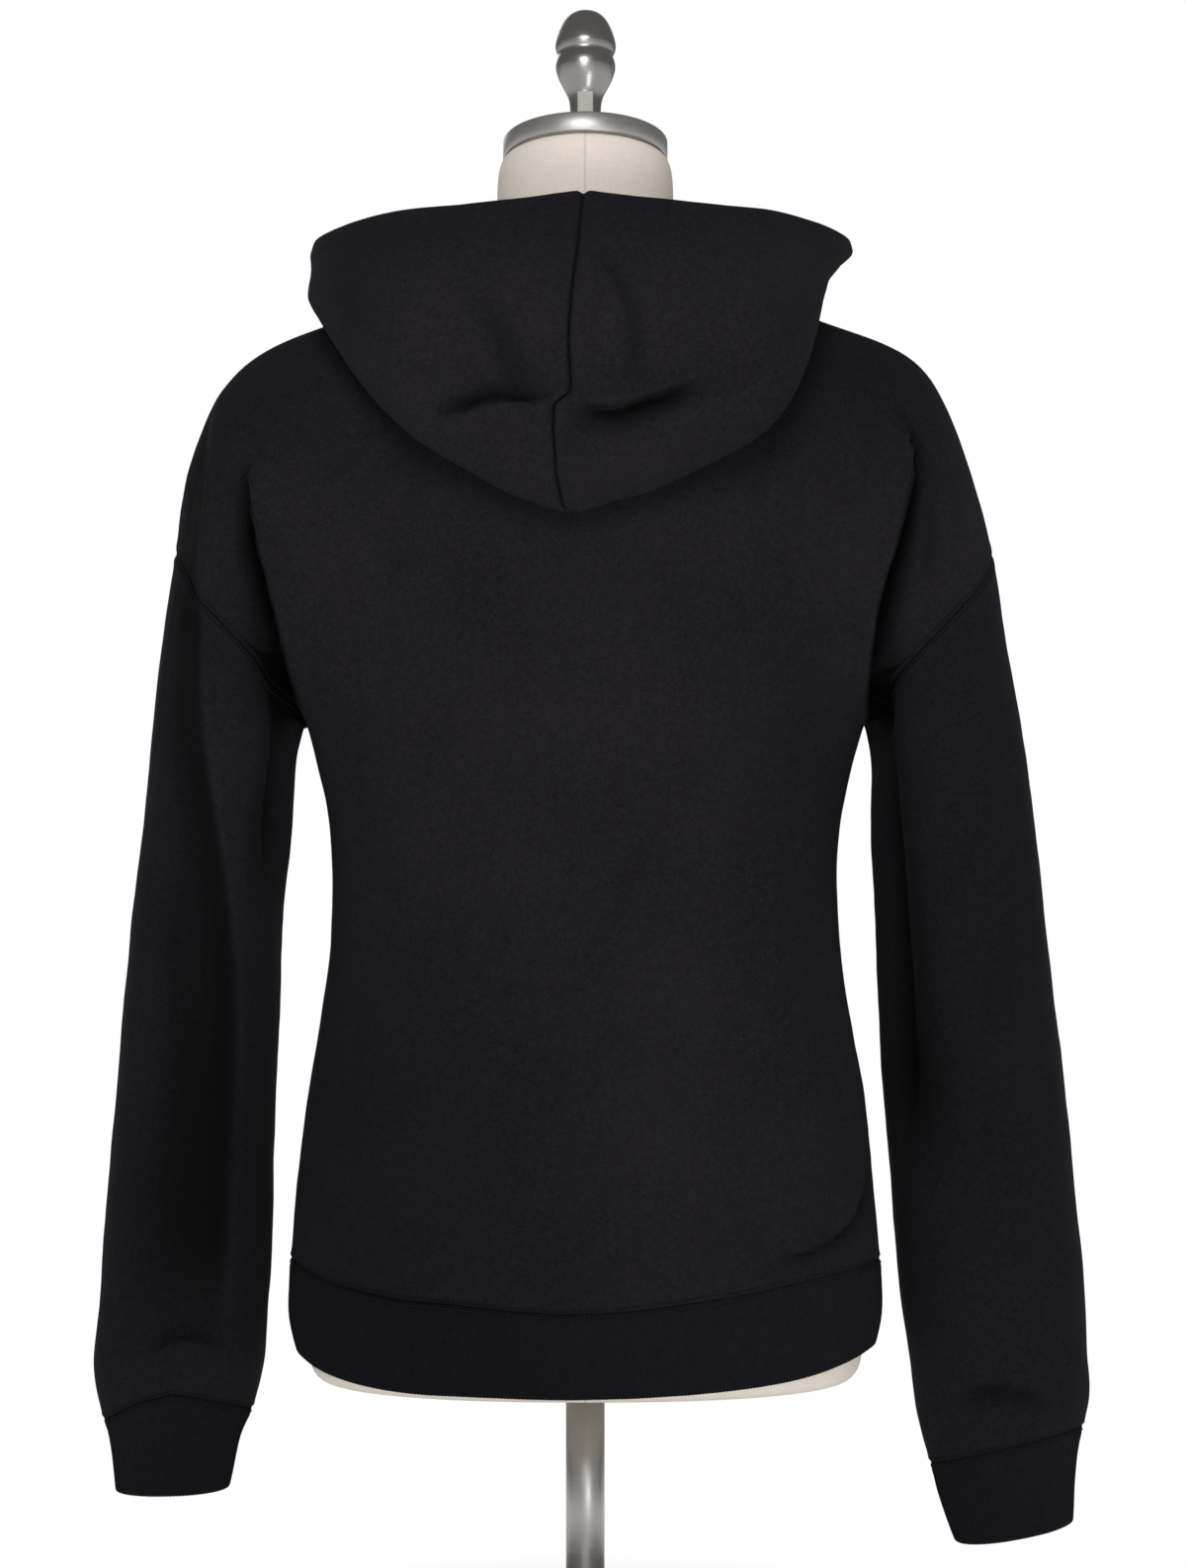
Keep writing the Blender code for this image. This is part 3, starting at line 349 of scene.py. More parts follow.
class Finish:
    """A material under construction: each call of node() adds one node to it."""

    def __init__(self, name, roughness, **constants):
        self.material = bpy.data.materials.new(name)
        self.material.use_nodes = True
        self.tree = self.material.node_tree
        self.shader = self.tree.nodes["Principled BSDF"]
        self.set(roughness=roughness, **constants)

    def set(self, **values):
        """Sets the shader's sockets, which are named here in lower case with _ for spaces."""
        for key, value in values.items():
            name = key.replace("_", " ").title().replace("Ior", "IOR")
            self.plug(self.shader.inputs[name], value)
        return self

    def plug(self, socket, value):
        if isinstance(value, Wire):
            self.tree.links.new(value.socket, socket)
        else:
            socket.default_value = value

    def node(self, kind, settings=None, values=None, output=0):
        made = self.tree.nodes.new(kind)
        for key, value in (settings or {}).items():
            setattr(made, key, value)
        for key, value in (values or {}).items():
            self.plug(made.inputs[key], value)
        return Wire(self, made.outputs[output])

    def coordinates(self, stretch=(1, 1, 1), turn=(0, 0, 0), place="Object"):
        where = self.node("ShaderNodeTexCoord", output=place)
        values = {"Vector": where, "Rotation": turn, "Scale": stretch}
        return self.node("ShaderNodeMapping", None, values)

    def noise(self, scale, detail=2.0, roughness=0.5, stretch=(1, 1, 1), **place):
        values = {
            "Vector": self.coordinates(stretch, **place),
            "Scale": scale,
            "Detail": detail,
            "Roughness": roughness,
        }
        return self.node("ShaderNodeTexNoise", None, values)

    def axis(self, name, place="Object"):
        where = self.node("ShaderNodeTexCoord", output=place)
        return self.node("ShaderNodeSeparateXYZ", None, {0: where}, output=name)

    def attribute(self, name):
        return self.node("ShaderNodeAttribute", {"attribute_name": name}, output="Fac")

    def mixed(self, share, one, two):
        values = {0: share, 6: one, 7: two}
        return self.node("ShaderNodeMix", {"data_type": "RGBA"}, values, output=2)

    def specks(self, per_metre, size, share):
        """1 in small round specks, one to a cell of 1 / per_metre in the given share of cells."""
        values = {"Vector": self.coordinates(), "Scale": per_metre}
        near = self.node("ShaderNodeTexVoronoi", None, values, output="Distance")
        colour = self.node("ShaderNodeTexVoronoi", None, values, output="Color")
        chance = self.node("ShaderNodeSeparateColor", None, {0: colour})
        return (1 - near.rise(size * 0.6, size)) * chance.rise(1 - share, 1.001 - share)

    def bumped(self, height, strength=1.0):
        """Roughens the surface by a height in metres."""
        values = {"Height": height, "Distance": 1.0, "Strength": strength}
        return self.set(normal=self.node("ShaderNodeBump", None, values))


def shade(colour, factor):
    return (*(channel * factor for channel in colour), 1.0)


def stitched_seam(finish):
    """Height of the sewn seams: a welt pressed down along two stitch rows and at its edge."""
    sewing = bpy.context.scene.sweatshirt_sewing
    needle_dent, allowance_dent, rim_dent = 0.0005, 0.00025, 0.0004
    fold_height, pucker_height = 0.0005, 0.0006
    seam, rim = finish.attribute("seam"), finish.attribute("rim")
    needle = seam.hill(sewing.needle_offset, 0.0009)
    allowance = seam.hill(0.0052, 0.0007)
    rim_needle = rim.hill(sewing.rim_stitch, 0.0011)
    rim_fold = 1 - rim.rise(sewing.rim_stitch - 0.0005, sewing.rim_stitch + 0.0012)
    puckers = finish.noise(260, 1.0) * seam.hill(0.0035, 0.003)
    dents = needle * needle_dent + allowance * allowance_dent + rim_needle * rim_dent
    return rim_fold * fold_height - dents + puckers * pucker_height


def needle_shade(finish):
    """Where the stitch rows and the seam between them press the nap flat and dark."""
    seam = finish.attribute("seam")
    offset = bpy.context.scene.sweatshirt_sewing.needle_offset
    return seam.hill(offset, 0.0008) * 0.55 + seam.hill(0.0, 0.0007) * 0.45


def fleece_finish():
    """Black cotton fleece: a brushed, faintly lilac face with a soft nap and a little lint, and painted
    shade in its creases.
    """
    cloth = bpy.context.scene.sweatshirt_cloth
    finish = Finish("brushed_fleece", roughness=0.95, **NAP_SHINE)
    nap = finish.noise(620, 3.0, 0.6)
    fine = finish.noise(1500, 2.0, 0.6)
    wear = finish.noise(9, 3.0)
    tufts = finish.noise(270, 3.0, 0.6)
    mottled = (nap - 0.5) * 1.2 + (fine - 0.5) * 1.1 + (tufts - 0.5) * 0.8
    tone = (mottled + (wear - 0.5) * 0.6 + 0.5).clamped()
    base = finish.mixed(
        tone, shade(cloth.fleece_colour, 0.50), shade(cloth.fleece_colour, 1.55)
    )
    lint = finish.specks(22, 0.014, 0.04)
    base = finish.mixed(lint * 0.7, base, shade((0.20, 0.19, 0.19), 1))
    gap = (finish.attribute("centre").hill(0.0, 0.0009) * 0.92).clamped()
    # the creases' hollows and the soft areas are painted shade in the colour, added to the dark centre
    # seam and the needle shade
    deep = (gap + finish.attribute("hollow") * HOLLOW_SHADE + needle_shade(finish)).clamped()
    finish.set(base_color=finish.mixed(deep, base, shade(cloth.fleece_colour, SHADED)))
    return finish.bumped(
        (nap - 0.5) * 0.00022 + (fine - 0.5) * 0.00010 + stitched_seam(finish) - gap * 0.0008
    ).material


def rib_finish():
    """Ribbed cotton in the same black, a little smoother, with painted shade between its ribs and in
    soft darker areas.
    """
    cloth = bpy.context.scene.sweatshirt_cloth
    finish = Finish("ribbed_knit", roughness=0.94, **NAP_SHINE)
    rib = finish.attribute("rib")
    nap = finish.noise(800, 2.0, 0.6)
    tufts = finish.noise(270, 3.0, 0.6)
    # rib lightens the tops of the ribs, which leaves painted shade in the grooves between them
    tone = (rib * 0.20 + (nap - 0.5) * 0.9 + (tufts - 0.5) * 0.8 + 0.40).clamped()
    base = finish.mixed(tone, shade(cloth.rib_colour, 0.50), shade(cloth.rib_colour, 1.5))
    # painted shade of the soft darker areas and the creases
    hollow = finish.attribute("hollow") * HOLLOW_SHADE
    finish.set(base_color=finish.mixed(hollow, base, shade(cloth.rib_colour, SHADED)))
    return finish.bumped((nap - 0.5) * 0.0002 + stitched_seam(finish)).material


def thread_finish():
    """Black polyester thread, slightly glossy."""
    cloth = bpy.context.scene.sweatshirt_cloth
    finish = Finish("sewing_thread", roughness=0.85, specular_ior_level=0.05)
    twist = finish.noise(2600, 1.0)
    finish.set(
        base_color=finish.mixed(
            twist, shade(cloth.thread_colour, 0.7), shade(cloth.thread_colour, 1.4)
        )
    )
    return finish.material


def form_finish():
    """Cream linen stretched over the form, with slubs and a centre back seam."""
    colour = bpy.context.scene.sweatshirt_form.cloth_colour
    finish = Finish("cream_linen", roughness=0.85, specular_ior_level=0.2)
    weft = finish.noise(800, 2.0, 0.6, (0.12, 0.12, 1))
    warp = finish.noise(800, 2.0, 0.6, (1, 1, 0.12))
    wear = finish.noise(14, 3.0)
    tone = ((weft - 0.5) * 0.6 + (warp - 0.5) * 0.6 + (wear - 0.5) * 0.4 + 0.5).clamped()
    seam = finish.axis("X").hill(0.0, 0.0007) * finish.axis("Y").rise(0.0, 0.004)
    base = finish.mixed(tone, shade(colour, 0.86), shade(colour, 1.10))
    finish.set(base_color=finish.mixed(seam * 0.22, base, shade(colour, 0.42)))
    return finish.bumped((weft + warp) * 0.00015 - seam * 0.0004).material


def steel_finish(name="brushed_nickel", dark=1.0, polish=0.0):
    """Nickelled steel, turned and brushed round its axis, with a few rubbed marks."""
    metal = bpy.context.scene.sweatshirt_metal
    finish = Finish(name, roughness=metal.roughness, metallic=1.0)
    lines = finish.noise(1.0, 2.0, 0.6, (22, 22, 2400), turn=(-NECK_TILT, 0, 0))
    marks = finish.noise(90, 3.0, 0.6)
    finish.set(
        base_color=finish.mixed(
            (lines * 0.6 + marks * 0.4).clamped(),
            shade(metal.colour, 0.72 * dark),
            shade(metal.colour, 1.20 * dark),
        ),
        roughness=(lines - 0.5) * 0.22 + (marks - 0.5) * 0.12 + (metal.roughness - polish),
    )
    return finish.bumped(lines * 0.00003).material


def enamel_finish():
    """The key's cream paint, a little worn."""
    finish = Finish("cream_enamel", roughness=0.5)
    worn = finish.noise(300, 3.0)
    colour = bpy.context.scene.sweatshirt_metal.key_colour
    return finish.set(
        base_color=finish.mixed(worn, shade(colour, 0.82), shade(colour, 1.12))
    ).material


# ---------------------------------------------------------------- shared mesh work
def add_piece(name, mesh, material, nodes=()):
    """Links a finished mesh as a piece that rides on the stand, in place of its CAD nodes."""
    piece = bpy.data.objects.new(name, mesh)
    bpy.context.scene.collection.objects.link(piece)
    mesh.materials.clear()
    mesh.materials.append(material)
    mesh.shade_smooth()
    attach(piece, "root")
    if nodes:
        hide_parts(*nodes)
    return piece


def finish_with(name):
    """The material of that name, made when it is first asked for."""
    makers = {
        "brushed_fleece": fleece_finish,
        "ribbed_knit": rib_finish,
        "sewing_thread": thread_finish,
        "cream_linen": form_finish,
        "brushed_nickel": steel_finish,
        "cast_nickel": lambda: steel_finish("cast_nickel", 0.66, 0.14),
        "cream_enamel": enamel_finish,
    }
    return bpy.data.materials.get(name) or makers[name]()


def mesh_from(shape, name):
    mesh = bpy.data.meshes.new(name)
    shape.to_mesh(mesh)
    shape.free()
    return mesh


def cad_copy(node):
    """A CAD node's triangles, joined at their corners."""
    shape = bmesh.new()
    shape.from_mesh(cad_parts[node].data)
    bmesh.ops.remove_doubles(shape, verts=shape.verts, dist=MERGE_CAD)
    return shape


def in_line(edges):
    """The vertices along edges that join end to end, from an end if there is one."""
    near = {}
    for edge in dict.fromkeys(edges):
        one, two = edge.verts
        near.setdefault(one, []).append(two)
        near.setdefault(two, []).append(one)
    ends = [vert for vert in near if len(near[vert]) == 1]
    line = [ends[0] if ends else next(iter(near))]
    used = set(line)
    while True:
        ahead = [vert for vert in near[line[-1]] if vert not in used]
        if not ahead:
            return line
        line.append(ahead[0])
        used.add(ahead[0])


def rows_from(first):
    """The rows of a mesh of rows and columns, each in order, starting from its first row."""
    rows, seen = [first], set(first)
    while True:
        row = []
        for vert in rows[-1]:
            for edge in vert.link_edges:
                other = edge.other_vert(vert)
                if other not in seen:
                    seen.add(other)
                    row.append(other)
        if not row:
            return rows
        inside = set(row)
        rows.append(
            in_line(
                edge
                for vert in row
                for edge in vert.link_edges
                if edge.other_vert(vert) in inside
            )
        )


def lined_up(row, before, closed):
    """A row turned and shifted so that each vertex stands over its column of the row before."""
    choices = [row, row[::-1]]
    if closed:
        choices = [one[k:] + one[:k] for one in choices for k in range(len(row))]
    return min(
        choices, key=lambda one: sum((a.co - b.co).length for a, b in zip(one, before))
    )


def first_row(shape, closed):
    """Where a cloth face's rows start: a tube's top, a panel's hem, a hood's neck seam."""
    border = [edge for edge in shape.edges if edge.is_boundary]
    if closed:
        loops = []
        while border:
            loop = in_line(border)
            inside = set(loop)
            border = [edge for edge in border if edge.verts[0] not in inside]
            loops.append(loop)
        return max(loops, key=lambda loop: sum(vert.co.z for vert in loop) / len(loop))
    loop = in_line(border)
    width = {
        vert: sum(corner.calc_angle() for corner in vert.link_loops) for vert in loop
    }
    corners = sorted(sorted(loop, key=lambda vert: width[vert])[:4], key=loop.index)
    sides = []
    for one, two in zip(corners, corners[1:] + corners[:1]):
        start, end = loop.index(one), loop.index(two)
        sides.append(loop[start : end + 1] if end > start else loop[start:] + loop[: end + 1])
    return sides


def grid_of(shape, first, closed):
    """Takes out the slanted edges of a mesh of rows and columns. Gives its rows and their places."""
    rows = [first]
    for row in rows_from(first)[1:]:
        rows.append(lined_up(row, rows[-1], closed))
    place = {vert: (i, j) for i, row in enumerate(rows) for j, vert in enumerate(row)}
    slanted = []
    for edge in shape.edges:
        (i, j), (k, l) = place[edge.verts[0]], place[edge.verts[1]]
        if i != k and j != l:
            slanted.append(edge)
    bmesh.ops.dissolve_edges(shape, edges=slanted, use_verts=False)
    return rows, place


def outer_face(name, wall):
    """A cloth node's outer face alone, without its rim and its inner face."""
    shape = cad_copy(name)
    rim = [
        face
        for face in shape.faces
        if any(abs(edge.calc_length() - wall) < WALL_TOLERANCE for edge in face.edges)
    ]
    bmesh.ops.delete(shape, geom=rim, context="FACES")
    outward = Vector(CLOTH_PIECES[name][0])
    start = max(shape.verts, key=lambda vert: vert.co.dot(outward))
    kept, edge_of = {start}, [start]
    while edge_of:
        edge_of = [
            edge.other_vert(vert)
            for vert in edge_of
            for edge in vert.link_edges
            if edge.other_vert(vert) not in kept and not kept.add(edge.other_vert(vert))
        ]
    bmesh.ops.delete(
        shape, geom=[vert for vert in shape.verts if vert not in kept], context="VERTS"
    )
    return shape


def cloth_cage(name, wall):
    """A cloth node's outer face as rows and columns of four-sided cells, with a UV map in metres."""
    shape = outer_face(name, wall)
    closed = name in SLEEVE_PIECES + RIB_PIECES
    first = first_row(shape, closed)
    if not closed:
        if name in HOOD_PIECES:
            first = min(first, key=lambda side: max(vert.co.xy.length for vert in side))
        else:
            first = min(first, key=lambda side: sum(v.co.z for v in side) / len(side))
    rows, place = grid_of(shape, first, closed)
    columns = len(first)
    if any(len(row) != columns for row in rows):
        raise RuntimeError(f"{name}: its rows have {sorted({len(row) for row in rows})} columns")
    points = np.array([[vert.co for vert in row] for row in rows])
    if closed:
        points = np.concatenate([points, points[:, :1]], axis=1)
    across = np.linalg.norm(np.diff(points, axis=1), axis=2).mean(axis=0)
    along = np.linalg.norm(np.diff(points, axis=0), axis=2)
    u = np.concatenate([[0], np.cumsum(across)])
    v = np.concatenate([np.zeros((1, points.shape[1])), np.cumsum(along, axis=0)])
    uv = shape.loops.layers.uv.new("UVMap")
    number = shape.faces.layers.int.new("piece")
    for face in shape.faces:
        face[number] = PIECE_NUMBER[name]
        wraps = closed and {0, columns - 1} <= {place[vert][1] for vert in face.verts}
        for loop in face.loops:
            i, j = place[loop.vert]
            j = columns if wraps and j == 0 else j
            loop[uv].uv = (u[j], v[i, j])
    return mesh_from(shape, name + "_cage")


def modified(mesh, kind, **settings):
    """A new mesh: the given one with a modifier applied."""
    piece = bpy.data.objects.new("being_made", mesh)
    bpy.context.scene.collection.objects.link(piece)
    modifier = piece.modifiers.new("step", kind)
    for key, value in settings.items():
        setattr(modifier, key, value)
    bpy.context.view_layer.update()
    made = bpy.data.meshes.new_from_object(
        piece.evaluated_get(bpy.context.evaluated_depsgraph_get())
    )
    bpy.data.objects.remove(piece)
    return made


def coordinates_of(mesh):
    points = np.zeros(len(mesh.vertices) * 3)
    mesh.vertices.foreach_get("co", points)
    return points.reshape(-1, 3)


def normals_of(mesh):
    normals = np.zeros(len(mesh.vertices) * 3)
    mesh.vertex_normals.foreach_get("vector", normals)
    return normals.reshape(-1, 3)


def move_vertices(mesh, points):
    mesh.vertices.foreach_set("co", np.ascontiguousarray(points).ravel())
    mesh.update()


def passed_through_points(cage, rounds=3):
    """Moves a cage out until its smooth surface passes through the places its corners had."""
    wanted = coordinates_of(cage)
    for _ in range(rounds):
        smooth = modified(cage, "SUBSURF", levels=1, use_limit_surface=True)
        reached = coordinates_of(smooth)[: len(wanted)]
        move_vertices(cage, coordinates_of(cage) + (wanted - reached) * 0.9)
        bpy.data.meshes.remove(smooth)


def dense(points, most):
    """A line of points with more put in, so that none are further apart than `most`."""
    made = [points[0]]
    for one, two in zip(points, points[1:]):
        steps = max(1, math.ceil(np.linalg.norm(two - one) / most))
        made += [one + (two - one) * k / steps for k in range(1, steps + 1)]
    return np.array(made)


def distances_to(lines, points, furthest=FAR):
    """How far each point is from the nearest of some lines of points, up to the furthest."""
    samples = [sample for line in lines for sample in dense(line, 0.0008)]
    tree = KDTree(len(samples))
    for index, sample in enumerate(samples):
        tree.insert(sample, index)
    tree.balance()
    found = [tree.find(point)[2] for point in points]
    return np.minimum(found, furthest)


# ---------------------------------------------------------------- the garment's skin
class Skin:
    """The whole garment as one smooth surface, from which the pieces are then cut."""

    mesh = None
    seams = {}


def picture_plane(points):
    """Where the camera sees points, carried to the y = 0 plane."""
    eye = np.array(CAMERA_PLACE)
    scale = eye[1] / (eye[1] - points[:, 1])
    return (points[:, [0, 2]] - eye[[0, 2]]) * scale[:, None] + eye[[0, 2]]


def rounded_path(path, rounds=2):
    """A path with its corners cut, so that it bends smoothly."""
    for _ in range(rounds):
        cut = [path[:-1] * 0.75 + path[1:] * 0.25, path[:-1] * 0.25 + path[1:] * 0.75]
        path = np.vstack([path[:1], np.stack(cut, axis=1).reshape(-1, 2), path[-1:]])
    return path


def path_offsets(seen, path):
    """Distance to a path on the picture plane, positive on its left, the run along it, its length."""
    best = np.full(len(seen), np.inf)
    side, run = np.ones(len(seen)), np.zeros(len(seen))
    path = rounded_path(np.array(path))
    before = 0.0
    for one, two in zip(path, path[1:]):
        along = two - one
        length = math.hypot(*along)
        share = np.clip(((seen - one) @ along) / (along @ along), 0, 1)
        off = seen - (one + share[:, None] * along)
        distance = np.linalg.norm(off, axis=1)
        nearer = distance < best
        turn = along[0] * (seen[:, 1] - one[1]) - along[1] * (seen[:, 0] - one[0])
        best = np.where(nearer, distance, best)
        side = np.where(nearer, np.where(turn < 0, -1, 1), side)
        run = np.where(nearer, before + share * length, run)
        before += length
    return best * side, run, before


def crease_lift(kind, offset, half_width):
    """A crease's shape for a depth of 1, across its path."""
    offset = offset / half_width
    hill = np.exp(-(offset**2))
    if kind == "groove":
        return -hill
    if kind == "ridge":
        return hill
    if kind == "fall":
        outer = (np.exp(-(offset**2)) - 1) * np.exp(-((offset / 4) ** 2))
        return np.where(offset > 0, outer, 0) + 0.25 * np.exp(-((offset / 0.5) ** 2))
    edge = np.exp(-((offset / 0.25) ** 2))
    hollow = 0.3 * edge - (1 - edge) * np.exp(-((offset / 1.3) ** 2))
    return np.where(offset > 0, 0.3 * hill, hollow)


def crease_shade(kind, offset, half_width):
    """How much a crease of full depth shades the cloth across its path, from 0 to 1."""
    offset = offset / half_width
    if kind == "ridge":
        return np.zeros(len(offset))
    if kind == "groove":
        return np.exp(-(offset**2))
    if kind == "fall":
        outer = (1 - np.exp(-((offset / 0.3) ** 2))) * np.exp(-((offset / 3.4) ** 2))
        return np.where(offset > 0, outer * 1.75, 0)
    near, far = np.exp(-((offset / 0.15) ** 2)), np.exp(-(np.abs(offset / 1.8) ** 3))
    return np.where(offset > 0, near, far)


def sewn_cage():
    """The nine cloth faces merged along their seams, with the neck seam kept sharp."""
    cloth = bpy.context.scene.sweatshirt_cloth
    shape = bmesh.new()
    shape.loops.layers.uv.new("UVMap")
    shape.faces.layers.int.new("piece")
    for name in CLOTH_PIECES:
        cage = cloth_cage(name, cloth.rib_wall if name in RIB_PIECES else cloth.fleece_wall)
        shape.from_mesh(cage)
        bpy.data.meshes.remove(cage)
    bmesh.ops.remove_doubles(shape, verts=shape.verts, dist=MERGE_SEAMS)
    number = shape.faces.layers.int["piece"]
    crease = shape.edges.layers.float.new("crease_edge")
    hood = {PIECE_NUMBER[name] for name in HOOD_PIECES}
    for edge in shape.edges:
        meets = {face[number] for face in edge.link_faces}
        if meets & hood and meets - hood:
            edge[crease] = 1.0
    return mesh_from(shape, "garment_cage")


def seams_of(mesh):
    """The lines where pieces meet or end, by the pieces' numbers, and which vertices each has."""
    shape = bmesh.new()
    shape.from_mesh(mesh)
    number = shape.faces.layers.int["piece"]
    meeting = {}
    for edge in shape.edges:
        pair = tuple(sorted({face[number] for face in edge.link_faces}))
        if len(edge.link_faces) == 1 or len(pair) == 2:
            meeting.setdefault(pair, []).append(edge)
    lines = {}
    for pair, edges in sorted(meeting.items()):
        lines[pair] = []
        while edges:
            line = in_line(edges)
            inside = set(line)
            edges = [edge for edge in edges if not inside.intersection(edge.verts)]
            lines[pair].append([vert.index for vert in line])
    of_piece = np.zeros((len(CLOTH_PIECES), len(shape.verts)), bool)
    for face in shape.faces:
        for vert in face.verts:
            of_piece[face[number], vert.index] = True
    shape.free()
    return lines, of_piece


def on_pieces(of_piece, pieces):
    """Which of the skin's vertices lie on the named pieces."""
    return of_piece[[PIECE_NUMBER[name] for name in pieces]].any(axis=0)


def stitched(pieces):
    """Whether two pieces meet in a seam with stitches beside it: a band's, an armhole, the neck."""
    band = len(pieces) == 2 and pieces & set(RIB_PIECES)
    armhole = pieces & set(PANEL_PIECES) and pieces & set(SLEEVE_PIECES)
    neck = pieces & set(PANEL_PIECES) and pieces & set(HOOD_PIECES)
    return bool(band or armhole or neck)


def seam_distances(points, lines):
    """How far points are from the stitched seams, the hood's middle, the other seams and its rim."""
    names = list(CLOTH_PIECES)
    hood = set(HOOD_PIECES)

    def nearest(wanted):
        found = [
            points[line + line[:1]]
            if np.linalg.norm(points[line[0]] - points[line[-1]]) < ENDS_MEET
            else points[line]
            for pair, of_pair in lines.items()
            if wanted({names[k] for k in pair})
            for line in of_pair
            if len(line) > 2
        ]
        return distances_to(found, points)

    return {
        "seam": nearest(stitched),
        "centre": nearest(lambda pair: pair == hood),
        "side": nearest(lambda pair: len(pair) == 2 and not stitched(pair)),
        "rim": nearest(lambda pair: len(pair) == 1 and pair <= hood),
    }


def seam_drift(points, seen, hooded):
    """How far the hood's centre seam and the cloth beside it stray to the wearer's left."""
    table = np.array(SEAM_DRIFT)
    drift = np.interp(seen[:, 1], table[:, 0], table[:, 1])
    drift *= np.exp(-((points[:, 0] / DRIFT_WIDTH) ** 2)) * hooded
    return drift * np.clip((points[:, 1] - DRIFT_FROM) / DRIFT_OVER, 0, 1)


def deepened(shade, more):
    """Two shades on top of each other, from 0 to 1."""
    return 1 - (1 - shade) * (1 - more)


def pressed(seen, normals, of_piece):
    """How far the creases lift each vertex of the skin, and how much painted shade the creases and the
    soft painted shade areas put on it.
    """
    crease_depth = bpy.context.scene.sweatshirt_cloth.crease_depth
    lift, hollow = np.zeros(len(seen)), np.zeros(len(seen))
    for pieces, kind, half_width, depth, path in CREASES:
        near = on_pieces(of_piece, pieces) & (normals[:, 1] > 0)
        offset, run, length = path_offsets(seen[near], path)
        dies_over = min(CREASE_FADE * length, CREASE_FADE_MOST)
        fade = np.clip(np.minimum(run, length - run) / dies_over, 0, 1)
        fade = fade * fade * (3 - 2 * fade)
        wide = half_width[0] + (half_width[1] - half_width[0]) * run / length
        facing = np.clip(normals[near, 1] * FACING_GAIN, 0, 1)
        lift[near] += crease_lift(kind, offset, wide) * depth * fade * crease_depth * facing
        # painted shade beside each crease, which darkens the cloth's colour
        shaded = crease_shade(kind, offset, wide) * fade * min(depth / HOLLOW_DEPTH, 1) * facing
        hollow[near] = deepened(hollow[near], shaded)
    # painted shade of the soft areas
    for pieces, middle, reach, share in PAINTED_SHADE_AREAS:
        near = on_pieces(of_piece, pieces)
        off = (seen[near] - middle) / reach
        hollow[near] = deepened(hollow[near], share * np.exp(-(off**2).sum(axis=1)))
    return lift, hollow


def slide_seams(points, seen, normals, of_piece):
    """Slides the cloth up or down beside the cuff and hem seams, so that they curve."""
    for pieces, height, reach, rises in SLIDES:
        near = on_pieces(of_piece, pieces) & (normals[:, 1] > 0)
        table = np.array(rises)
        rise = np.interp(seen[near, 0], table[:, 0], table[:, 1])
        rise *= np.exp(-(((seen[near, 1] - height) / reach) ** 2))
        points[near, 2] += rise * np.clip(normals[near, 1] * FACING_GAIN, 0, 1)


def build_skin():
    """Sews the nine cloth faces into one cage, smooths it and presses the creases into it."""
    cage = sewn_cage()
    passed_through_points(cage)
    levels = bpy.context.scene.sweatshirt_sewing.smoothness
    mesh = modified(cage, "SUBSURF", levels=levels, use_limit_surface=True)
    bpy.data.meshes.remove(cage)
    lines, of_piece = seams_of(mesh)
    points, normals = coordinates_of(mesh), normals_of(mesh)
    hooded = on_pieces(of_piece, HOOD_PIECES)
    away = seam_distances(points, lines)
    rim = np.where(hooded, away["rim"], FAR)

    seen = picture_plane(points)
    drift = seam_drift(points, seen, hooded)
    seen[:, 0] += drift
    lift, hollow = pressed(seen, normals, of_piece)
    for scale, height in UNEVENNESS:
        lift += height * np.array([noise.noise(Vector(point * scale)) for point in points])
    for seams, middle, half_width, height in SEAM_PROFILES:
        lift += height * np.exp(-(((away[seams] - middle) / half_width) ** 2))
    points = points + normals * lift[:, None]
    points[:, 0] += drift
    slide_seams(points, seen, normals, of_piece)
    move_vertices(mesh, points)
    # hollow holds the painted shade of the creases and the soft areas, for the cloth's colour
    kept = {"seam": away["seam"], "rim": rim, "centre": away["centre"], "hollow": hollow}
    for name, values in kept.items():
        layer = mesh.attributes.new(name, "FLOAT", "POINT")
        layer.data.foreach_set("value", values.astype(np.float32))
    mesh.name = "garment_skin"
    Skin.mesh, Skin.seams = mesh, lines


def cut_piece(name):
    """A bmesh of one piece's part of the skin."""
    shape = bmesh.new()
    shape.from_mesh(Skin.mesh)
    number = shape.faces.layers.int["piece"]
    others = [face for face in shape.faces if face[number] != PIECE_NUMBER[name]]
    bmesh.ops.delete(shape, geom=others, context="FACES")
    return shape


def sew_piece(name, shape, wall, material):
    """Gives a cut piece its thickness and rounded edges, and its cloth's finish."""
    face = mesh_from(shape, name + "_face")
    mesh = modified(face, "SOLIDIFY", thickness=wall, offset=-1.0, use_rim=True)
    if name in RIB_PIECES:
        raise_ribs(mesh, len(face.vertices))
    bpy.data.meshes.remove(face)
    mesh.name = name
    piece = add_piece("cloth_" + name, mesh, finish_with(material), [name])
    round_edges = piece.modifiers.new("turned_edges", "BEVEL")
    round_edges.width, round_edges.segments = wall * 0.36, 2
    round_edges.limit_method, round_edges.angle_limit = "ANGLE", math.radians(60)
    return piece


